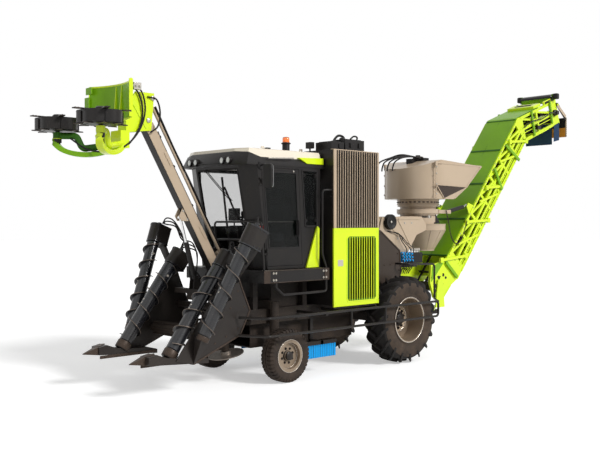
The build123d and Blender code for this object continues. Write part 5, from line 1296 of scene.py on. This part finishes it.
# a dark brown plate over the tan hood's fold: painted shade
both("hoodFoldShade", [extrudedPlate([(-1.36, 3.09), (-2.30, 3.07), (-1.60, 2.845)], "y", 0.6225, 0.6265)],
     "extractor_hood", brownSteel, 30, slot="tan_paint")
both("hoodFoldEdge", [bars([(-1.36, 0.629, 3.09), (-1.36, 0.629, 3.09)],
                           [(-2.31, 0.629, 3.07), (-1.59, 0.629, 2.842)], 0.012, 0.014)], "extractor_hood",
     tan, 40, 0.001)
hoodBolts = [bolts([(-1.354, 0.632, z) for z in (2.92, 3.1, 3.3, 3.42)], toLeft, 0.011, 0.009)]
both("hoodBolts", hoodBolts, "extractor_hood", galvanised)
ringY = [lathe([(0.390, 2.724), (0.404, 2.724), (0.404, 2.742), (0.396, 2.748), (0.396, 2.80), (0.404, 2.806),
                (0.404, 2.826), (0.390, 2.826), (0.390, 2.724)], (neck["x"], 0, 0), toSky, 72)]
meshObject("hoodRing", ringY, "extractor_hood", tan)
segments = [bars((x, y, 2.764), (x, y, 2.784), 0.045, 0.008, (-y, x - neck["x"], 0))
            for x, y, _ in around((neck["x"], 0, 0), toSky, 0.4, 30)]
meshObject("ringSegments", segments, "extractor_hood", hoseBlack)
motor = [(0.10, 3.49), (0.106, 3.495), (0.106, 3.52), (0.1015, 3.525), (0.1015, 3.648), (0.08, 3.655),
         (0.045, 3.657), (0.045, 3.68), (0, 3.68)]
motorBoxes = [(-1.68, -1.52, 0.09, 0.2, 3.53, 3.62), (-1.5, -1.34, -0.08, 0.06, 3.51, 3.6)]
meshObject("hoodMotor", [lathe(motor, (neck["x"], 0, 0), toSky, 48), boxes(motorBoxes)], "extractor_hood",
           charcoal, 40, 0.002)
paths = [[(-1.6, 0.15, 3.58), (-1.4, 0.1 - 0.1 * k, 3.63 + 0.02 * k), (-1.18, -0.12 * k, 3.62),
          (-1.0, -0.05 - 0.13 * k, 3.54), (-0.955, -0.08 - 0.13 * k, 3.44), (-0.96, -0.1 - 0.13 * k, 3.36)]
         for k in range(4)]
meshObject("hoodHoses", [tube(path, 0.014, 12, 48) for path in paths], "extractor_hood", hoseBlack, 60)
c, s = math.cos(math.radians(75)), math.sin(math.radians(75))
flange = [bolts(around((neck["x"], 0, 2.560), toSky, 0.372, 24), toSky, 0.010, 0.008),
          bolts([(neck["x"] + 0.346 * c, 0.346 * s, 2.50)], (c, s, 0), 0.02, 0.012)]
meshObject("neckBolts", flange, "chassis", galvanised)
bandRings = [ringOf(0.438, 0.449, z0, z0 + 0.016, (neck["band"], 0, 0), toSky, 72) for z0 in (2.238, 2.346)]
bandRings.append(ringOf(0.213, 0.226, 1.848, 1.868, (neck["band"], 0, 0), toSky, 56))
for t in np.radians([0, 60, 90, 120, 180, 240, 300]):
    c, s = math.cos(t), math.sin(t)
    bandRings.append(bars((neck["band"] + 0.222 * c, 0.222 * s, 1.87),
                          (neck["band"] + 0.441 * c, 0.441 * s, 2.236), 0.016, 0.01, (-s, c, 0)))
meshObject("bandRings", bandRings, "chassis", tan, 40, 0.002)
slots = []
for low, first, last in ((2.555, 38, 84), (2.44, 20, 34), (2.44, 100, 150)):
    angles = np.radians(np.linspace(first, last, 14))
    slots.append(stripAlong([(neck["x"] + 0.3475 * math.cos(t), 0.3475 * math.sin(t), low - 0.06)
                             for t in angles],
                            [(-0.012, -0.003), (0.012, -0.003), (0.012, 0.003), (-0.012, 0.003)], toSky))
# black strips for the slots: painted shade
meshObject("neckSlots", slots, "chassis", hoseBlack)
both("neckGusset", [extrudedPlate([(-1.72, 2.56), (-1.86, 2.37), (-1.72, 2.37)], "y", 0.30, 0.33)], "chassis",
     charcoal, 30, 0.002)
disc = (-0.348, 0.38, 2.40)
dish = [(0, 0.012), (0.022, 0.012), (0.026, 0.004), (0.06, 0.002), (0.105, 0.016), (0.122, 0.03),
        (0.132, 0.03), (0.136, 0.018), (0.136, -0.05), (0, -0.05)]
meshObject("bracketDisc", [lathe(dish, disc, toLeft, 48)], "chassis", plastic)
hub = [(0, 0.0), (0.02, 0.0), (0.02, 0.022), (0.01, 0.026), (0, 0.026)]
meshObject("bracketDiscHub", [lathe(hub, disc, toLeft, 24)], "chassis", galvanised)
arms = [bars(onSide(0.334, ((-0.60, 2.46), (-0.42, 2.30), (-0.20, 2.44), (-0.12, 2.10), (-0.72, 2.46))),
             onSide(0.334, ((-1.02, 1.90), (-0.98, 1.93), (-0.72, 2.46), (-0.60, 1.83), (-1.24, 2.46))), 0.012,
             0.03)]
both("bracketRibs", arms, "chassis", tan, 40, 0.002)
both("bracketBolts", [bolts(onSide(0.33, ((-0.3, 2.1), (-0.5, 1.9), (-0.8, 2.38), (-1.0, 2.38), (-0.6, 2.1))),
                            toLeft, 0.014, 0.01)], "chassis", galvanised)
valve = {"x0": -1.16, "x1": -0.88, "y0": 0.335, "y1": 0.46, "z0": 1.65, "z1": 1.84}
blocks = [tuple(valve.values()), (-1.0, -0.42, 0.32, 0.46, 1.58, 1.66), (-0.52, -0.40, 0.30, 0.46, 1.58, 1.74)]
meshObject("valveBlock", [boxes(blocks)], "chassis", plastic, 40, 0.006)
caps = []
for x in np.linspace(-1.12, -0.92, 5):
    caps.append(lathe([(0, 0), (0.012, 0), (0.012, 0.035), (0.022, 0.04), (0.024, 0.07), (0.012, 0.08),
                       (0, 0.08)], (x, 0.40, valve["z1"]), toSky, 16))
meshObject("valveKnobs", caps, "chassis", galvanised)
blueParts, metal = [], []
for i, x in enumerate(np.linspace(-0.86, -0.62, 4)):
    for j, z in enumerate((1.70, 1.76, 1.82)):
        blueParts.append(lathe([(0, 0), (0.02, 0), (0.02, 0.05), (0.013, 0.055), (0, 0.055)],
                               (x + 0.01 * j, 0.43, z), toLeft, 16))
        metal.append(ringOf(0.021, 0.025, 0.02, 0.032, (x + 0.01 * j, 0.43, z), toLeft, 12))
blueParts.append(boxes([(-0.88, -0.6, 0.34, 0.43, 1.67, 1.85)]))
meshObject("blueValves", blueParts, "chassis", blueStrip, 40, 0.002)
meshObject("valveNuts", metal, "chassis", brass)
lines = []
for k in range(3):
    x = -0.9 + 0.1 * k
    lines.append(tube([(x, 0.45, 1.84 - 0.02 * k), (x + 0.02, 0.47, 1.92),
                       (x + 0.16 - 0.02 * k, 0.44, 2.02 + 0.02 * k),
                       (-0.62 + 0.03 * k, 0.38, 2.16 + 0.015 * k), (-0.42 + 0.02 * k, 0.35, 2.22),
                       (-0.25, 0.30, 2.24 + 0.006 * k)], 0.008, 8, 44))
for k in range(6):
    x = -0.84 + 0.05 * k
    lines.append(tube([(x, 0.47, 1.70), (x + 0.01, 0.50, 1.63), (x + 0.03, 0.48, 1.56),
                       (x + 0.02, 0.42, 1.50 + 0.01 * k), (x - 0.02, 0.36, 1.46)], 0.009, 8, 30))
meshObject("chamberHoses", lines, "chassis", hoseBlack, 60)
chamberSide = np.array([(0.67, 1.20), (0.67, 2.29), (0.19, 2.26), (-0.34, 1.90), (-0.38, 1.50), (-0.15, 1.08)])
edge = [(x, 0.603, z) for x, z in chamberSide + (chamberSide.mean(axis=0) - chamberSide) * 0.025]
both("chamberEdges", [edgeBars(edge, 0.012, 0.025, closed=False)], "chassis", brownSteel, 40, 0.002,
     slot="chassis_black")
both("chamberBolts", [bolts(onSide(0.60, ((0.6, 1.4), (0.6, 1.8), (0.6, 2.2), (0.2, 2.18), (-0.28, 1.84),
        (-0.32, 1.55), (0.0, 1.2), (0.3, 1.2), (-0.08, 1.35), (0.08, 1.35), (0.08, 1.65), (-0.08, 1.65))),
                            toLeft, 0.010, 0.008)], "chassis", brownSteel)
print("extractor made")

# Elevator: its own two runs, as in the solids
run = {"hub": (-1.757, 1.237), "lowTilt": 49.5, "highTilt": 19.7, "knee": 4.318, "cover": 0.115}
lowTilt, highTilt = math.radians(run["lowTilt"]), math.radians(run["highTilt"])


def onLower(up, away, y=0.0):
    # a point up the lower run and away from it
    return np.array([run["hub"][0] - up * math.cos(lowTilt) + away * math.sin(lowTilt), y,
                     run["hub"][1] + up * math.sin(lowTilt) + away * math.cos(lowTilt)])


kneeAt = onLower(run["knee"], run["cover"])


def onUpper(up, away, y=0.0):
    # the same on the upper run, from the knee
    return kneeAt + np.array([-up * math.cos(highTilt) + away * math.sin(highTilt), y,
                              up * math.sin(highTilt) + away * math.cos(highTilt)])


lowWay, highWay = onLower(1, 0) - onLower(0, 0), onUpper(1, 0) - onUpper(0, 0)
cover = {"joints": (0.560, 1.500, 2.440, 3.380, 4.288), "half": 0.366}
half = cover["half"]
joints = [(up, 0.045, 0.016) for up in cover["joints"][1:-1]]
joints += [(0.575, 0.03, 0.012), (4.27, 0.03, 0.012)]
folds = [bars(onLower(up, 0.130, -half), onLower(up, 0.130, half), wide, thick, lowWay)
         for up, wide, thick in joints]
for a, b in zip(cover["joints"][:-1], cover["joints"][1:]):
    folds.append(bars(onLower(a + 0.03, 0.1305, -0.02), onLower(b - 0.03, 0.1305, -0.02), 0.006, 0.006))
folds.append(bars(onUpper(0.06, 0.0105, half), onUpper(0.9, 0.0105, half), 0.012, 0.012))
meshObject("coverFolds", folds, "elevator", darkGreen, 40, 0.003)
# the covers themselves: slightly dished sheets over the solids' flat ones
lips = []
ys = np.linspace(-half, half, 14)
for k, (a, b) in enumerate(zip(cover["joints"][:-1], cover["joints"][1:])):
    ups = np.linspace(a + 0.006, b - 0.006, 14)
    top = np.array([[onLower(u, 0.1265 + 0.010 * math.sin(math.pi * (u - a) / (b - a))
                             * (0.6 + 0.4 * math.sin(7 * y + k)) * (1 - (y / 0.37) ** 4), y) for y in ys]
                    for u in ups])
    lips.append(sheetGrid(top, 0.0025))
ups = np.linspace(0.044, 0.896, 12)
top = np.array([[onUpper(u, 0.0115 + 0.006 * (1 - (y / 0.37) ** 4) * math.sin(math.pi * (u - 0.04) / 0.86), y)
                 for y in ys] for u in ups])
lips.append(sheetGrid(top, 0.0025))
lift = np.array([-0.3, 0, 1]) * 0.008
turn = np.array([[onLower(4.285, 0.126, y) * (1 - t) + onUpper(0.05, 0.011, y) * t + lift
                  * math.sin(math.pi * t) for y in ys] for t in np.linspace(0, 1, 5)])
lips.append(sheetGrid(turn, 0.003))
meshObject("coverSheets", lips, "elevator", coverGreen, 60)
# side lattice: edge angles, slat rails, cross channels with gussets, green struts
rails = [bars(onLower(0.62, away, 0.386), onLower(4.25, away, 0.386), 0.014, 0.03) for away in (0.100, -0.417)]
rails += [bars(onLower(0.66, away, 0.384), onLower(4.28, away, 0.384), 0.010, 0.016)
          for away in (-0.13, -0.25, -0.315)]
rails.append(bars(onUpper(0.1, -0.012, 0.386), onUpper(1.6, -0.012, 0.386), 0.014, 0.03))
rails.append(bars(onUpper(0.2, -0.535, 0.386), onUpper(1.14, -0.535, 0.386), 0.014, 0.03))
for away in (-0.27, -0.36):
    rails.append(bars(onUpper(0.1, away, 0.384), onUpper(1.55, away, 0.384), 0.010, 0.016))
both("latticeRails", rails, "elevator", limeFrame, 40, 0.002)
channels, gussets = [], []
for a, b in (((-1.686, 1.659), (-2.719, 1.745)), ((-2.518, 2.398), (-3.482, 2.439)),
             ((-3.233, 3.086), (-3.919, 3.146)), ((-4.067, 4.07), (-4.879, 4.144))):
    p, q = np.array([a[0], 0.405, a[1]]), np.array([b[0], 0.405, b[1]])
    p, q = (p + q) / 2 + (p - q) / 2 * 0.76, (p + q) / 2 + (q - p) / 2 * 0.76
    channels.append(bars(p, q, 0.036, 0.05))
    for end in (p, q):
        gussets.append(boxes([(end[0] - 0.045, end[0] + 0.045, 0.378, 0.426, end[2] - 0.05, end[2] + 0.05)]))
for up0, up1 in ((0.95, 1.5), (2.05, 2.6), (3.15, 3.7)):
    channels.append(bars(onLower(up0, 0.02, 0.40), onLower(up1, -0.36, 0.40), 0.03, 0.045))
both("latticeChannels", channels, "elevator", lime, 40, 0.003)
both("latticeGussets", gussets, "elevator", limeFrame, 40, 0.006)
struts = [bars((-1.936, 0.412, 1.632), (-2.30, 0.412, 1.325), 0.03, 0.06),
          bars((-3.992, 0.412, 4.002), (-4.50, 0.412, 3.71), 0.03, 0.06),
          bars(onLower(2.9, 0.09, 0.412), onLower(2.75, -0.40, 0.412), 0.03, 0.06),
          bars(onUpper(0.55, 0.02, 0.41), onUpper(0.5, -0.52, 0.41), 0.03, 0.05),
          bars(onUpper(1.35, 0.03, 0.41), onUpper(1.3, -0.45, 0.41), 0.03, 0.05)]
both("latticeStruts", struts, "elevator", coverGreen, 40, 0.003)
heads = [bolts([onLower(u, away, 0.394) for u in np.arange(0.8, 4.2, 0.17) for away in (0.1, -0.417)], toLeft,
               0.008, 0.007)]
both("latticeBolts", heads, "elevator", galvanised)
# boot: hub plate with three windows, round cover, dark holes; the windows and holes are black plates of
# painted shade
boot = {"x": -1.669, "z": 1.336}
hubAt = (boot["x"] - 0.088, 0.38, boot["z"] - 0.099)
hubParts = [lathe([(0, 0), (0.05, 0), (0.05, 0.012), (0.03, 0.02), (0, 0.02)], hubAt, toLeft, 32),
            bolts(around(hubAt, toLeft, 0.075, 6), toLeft, 0.01, 0.008)]
windows = []
for k in range(3):
    first = math.radians(90 + 120 * k)
    ring = [(0.14, first - 0.42), (0.14, first), (0.14, first + 0.42), (0.075, first + 0.3), (0.062, first),
            (0.075, first - 0.3)]
    windows.append(extrudedPlate([(hubAt[0] + r * math.cos(t), hubAt[2] + r * math.sin(t)) for r, t in ring],
                                 "y", 0.379, 0.3825))
for x, z, r in ((-1.855, 1.385, 0.034), (-1.93, 1.33, 0.028), (-1.607, 1.10, 0.03), (-1.50, 1.35, 0.02)):
    windows.append(lathe([(0, 0), (r, 0), (r, 0.003), (0, 0.003)], (x - 0.04, 0.38, z), toLeft, 20))
# windows and holes as black plates: painted shade
both("bootWindows", windows, "elevator", hoseBlack)
both("bootHub", hubParts, "elevator", limeFrame)
bootEdge = np.array([(-1.51, 1.588), (-1.48, 1.25), (-1.60, 0.97), (-1.82, 0.871), (-2.14, 1.18)])
edge = [(x, 0.384, z) for x, z in bootEdge + (bootEdge.mean(axis=0) - bootEdge) * 0.03]
both("bootEdges", [edgeBars(edge, 0.012, 0.02, closed=False)], "elevator", limeFrame, 40, 0.002)
plate = [(-1.55, 1.56), (-1.52, 1.27), (-1.72, 1.45), (-1.9, 1.62), (-1.86, 1.66)]
both("bootPlate", [extrudedPlate(plate, "y", 0.380, 0.388)], "elevator", coverGreen, 30, 0.002)
# head: boxes, arched cover, lamps, motor with its hose, facings and strap of the end flap
headBoxes = [bars(onUpper(0.93, 0.035, -0.33), onUpper(0.93, 0.035, 0.33), 0.30, 0.07, highWay),
             bars(onUpper(1.15, 0.03, 0.36), onUpper(1.45, 0.03, 0.36), 0.04, 0.09)]
meshObject("headBoxes", headBoxes, "elevator", lime, 40, 0.006)
# black bars for the slots: painted shade
meshObject("headSlots", [bars(onUpper(0.93, 0.073, -0.2), onUpper(0.93, 0.073, 0.2), 0.12, 0.006, highWay),
                         bars(onUpper(1.18, 0.03, 0.382), onUpper(1.42, 0.03, 0.382), 0.004, 0.05)],
           "elevator", hoseBlack, 40, 0.002)
arch = [[onUpper(1.56 - 0.105 * math.cos(t), 0.088 + 0.05 * math.sin(t), y)
         for y in np.linspace(-0.378, 0.378, 9)] for t in np.linspace(0, math.pi, 17)]
meshObject("headArch", [sheetGrid(np.array(arch), 0.006),
                        bars([onUpper(1.45, 0.06, -0.384), onUpper(1.45, 0.06, 0.384)],
                             [onUpper(1.66, 0.06, -0.384), onUpper(1.66, 0.06, 0.384)], 0.008, 0.085)],
           "elevator", charcoal, 50)
lampBoxes = [roundedBox((-5.93, y, 5.2075), (0.052, 0.062, 0.064), 6) for y in (-0.45, 0.45)]
lampGlass = [roundedBox((-5.986, y, 5.2075), (0.005, 0.05, 0.05), 6, 12, 24) for y in (-0.45, 0.45)]
meshObject("headLamps", lampBoxes, "elevator", plastic)
meshObject("headLampGlass", lampGlass, "elevator", lensGlow)
both("headMotor", [lathe([(0, 0), (0.07, 0), (0.07, 0.05), (0.05, 0.06), (0.05, 0.1), (0, 0.1)],
                         onUpper(1.5, -0.27, 0.38), toLeft, 28),
                   tube([onUpper(1.45, -0.27, 0.45), onUpper(1.2, -0.20, 0.47), onUpper(0.9, -0.24, 0.44),
                         onUpper(0.5, -0.2, 0.42), onUpper(0.15, -0.24, 0.41)], 0.012, 10, 40),
                   boxes([(-5.32, -5.18, 0.384, 0.45, 4.42, 4.5)])], "elevator", charcoal)
flap = {"low": 4.345, "top": 4.775}
meshObject("flapFace", [boxes([(-6.486, -6.480, -0.40, 0.40, flap["low"], flap["top"])])], "end_flap",
           navyStrip, 40, 0.002)
both("flapStrap", [bars((-6.07, 0.4105, 5.03), (-6.44, 0.4105, 4.80), 0.006, 0.07),
                   boxes([(-6.484, -6.462, 0.386, 0.412, flap["low"], flap["top"])])], "end_flap", tan, 40,
     0.002)
# black dots for the strap's holes: painted shade
both("flapHoles", [bolts([(-6.472, 0.412, z) for z in np.linspace(4.37, 4.75, 9)], toLeft, 0.006, 0.003)],
     "end_flap", hoseBlack)
orangeStrip = rubber("orangeStrip", (214, 142, 42), (190, 140, 70))
meshObject("flapLower", [boxes([(-6.467, -6.455, -0.385, 0.385, 4.342, 4.55)])], "end_flap", orangeStrip, 40,
           0.002)
links = []
sag = smoothPath([(-1.95, 0.405, 2.62), (-1.98, 0.44, 2.40), (-2.03, 0.46, 2.14), (-2.16, 0.462, 1.99),
                  (-2.32, 0.462, 2.02), (-2.45, 0.46, 2.2), (-2.56, 0.455, 2.42)], 47)
a = np.linspace(0, 2 * math.pi, 13)[:-1]
for k in range(len(sag) - 1):
    t = sag[k + 1] - sag[k]
    t /= np.linalg.norm(t)
    side = np.array([0, 1.0, 0]) if k % 2 else np.cross(t, [0, 1.0, 0])
    loop = [(sag[k] + sag[k + 1]) / 2 + t * 0.021 * math.cos(v) + side * 0.011 * math.sin(v) for v in a]
    loop = np.array(loop + loop[:1])
    links.append(tube(loop, 0.0042, 6, smooth=False))
meshObject("sagChain", links, "swing", brownSteel, 60)
print("elevator made")

# Curtains at the elevator's mouth: sheets that hang, the one at the back a little rippled
def hangingSheet(name, start, end, top0, top1, low0, low1, waves, depth, side):
    # the sheet spans its two ends, and sways as depth * r ** 1.3 * sin(waves turns + 0.8), r from top to hem
    r, t = np.linspace(0, 1, 20)[:, None], np.linspace(0, 1, 40)[None]
    sway = depth * r ** 1.3 * np.sin(2 * math.pi * waves * t + 0.8)
    grid = np.stack([start[0] + (end[0] - start[0]) * t + sway * side[0],
                     start[1] + (end[1] - start[1]) * t + sway * side[1],
                     (top0 + (top1 - top0) * t) * (1 - r) + (low0 + (low1 - low0) * t) * r], axis=-1)
    piece = meshObject(name, [sheetGrid(grid, 0.006)], "elevator", navyStrip, 60)


curtains = ({"name": "curtainSide_left", "start": (-5.965, 0.389), "end": (-6.185, 0.389), "top": (4.56, 4.65),
             "low": (4.205, 4.255), "waves": 1.5, "depth": 0.0, "side": (0, 1)},
            {"name": "curtainSide_right", "start": (-5.965, -0.389), "end": (-6.185, -0.389),
             "top": (4.56, 4.65), "low": (4.205, 4.255), "waves": 1.5, "depth": 0.0, "side": (0, -1)},
            {"name": "curtainBack", "start": (-5.982, 0.325), "end": (-5.982, -0.325), "top": (4.598, 4.598),
             "low": (4.145, 4.145), "waves": 3.0, "depth": 0.006, "side": (1, 0)})
for c in curtains:
    hangingSheet(c["name"], c["start"], c["end"], *c["top"], *c["low"], c["waves"], c["depth"], c["side"])
print("curtains made")
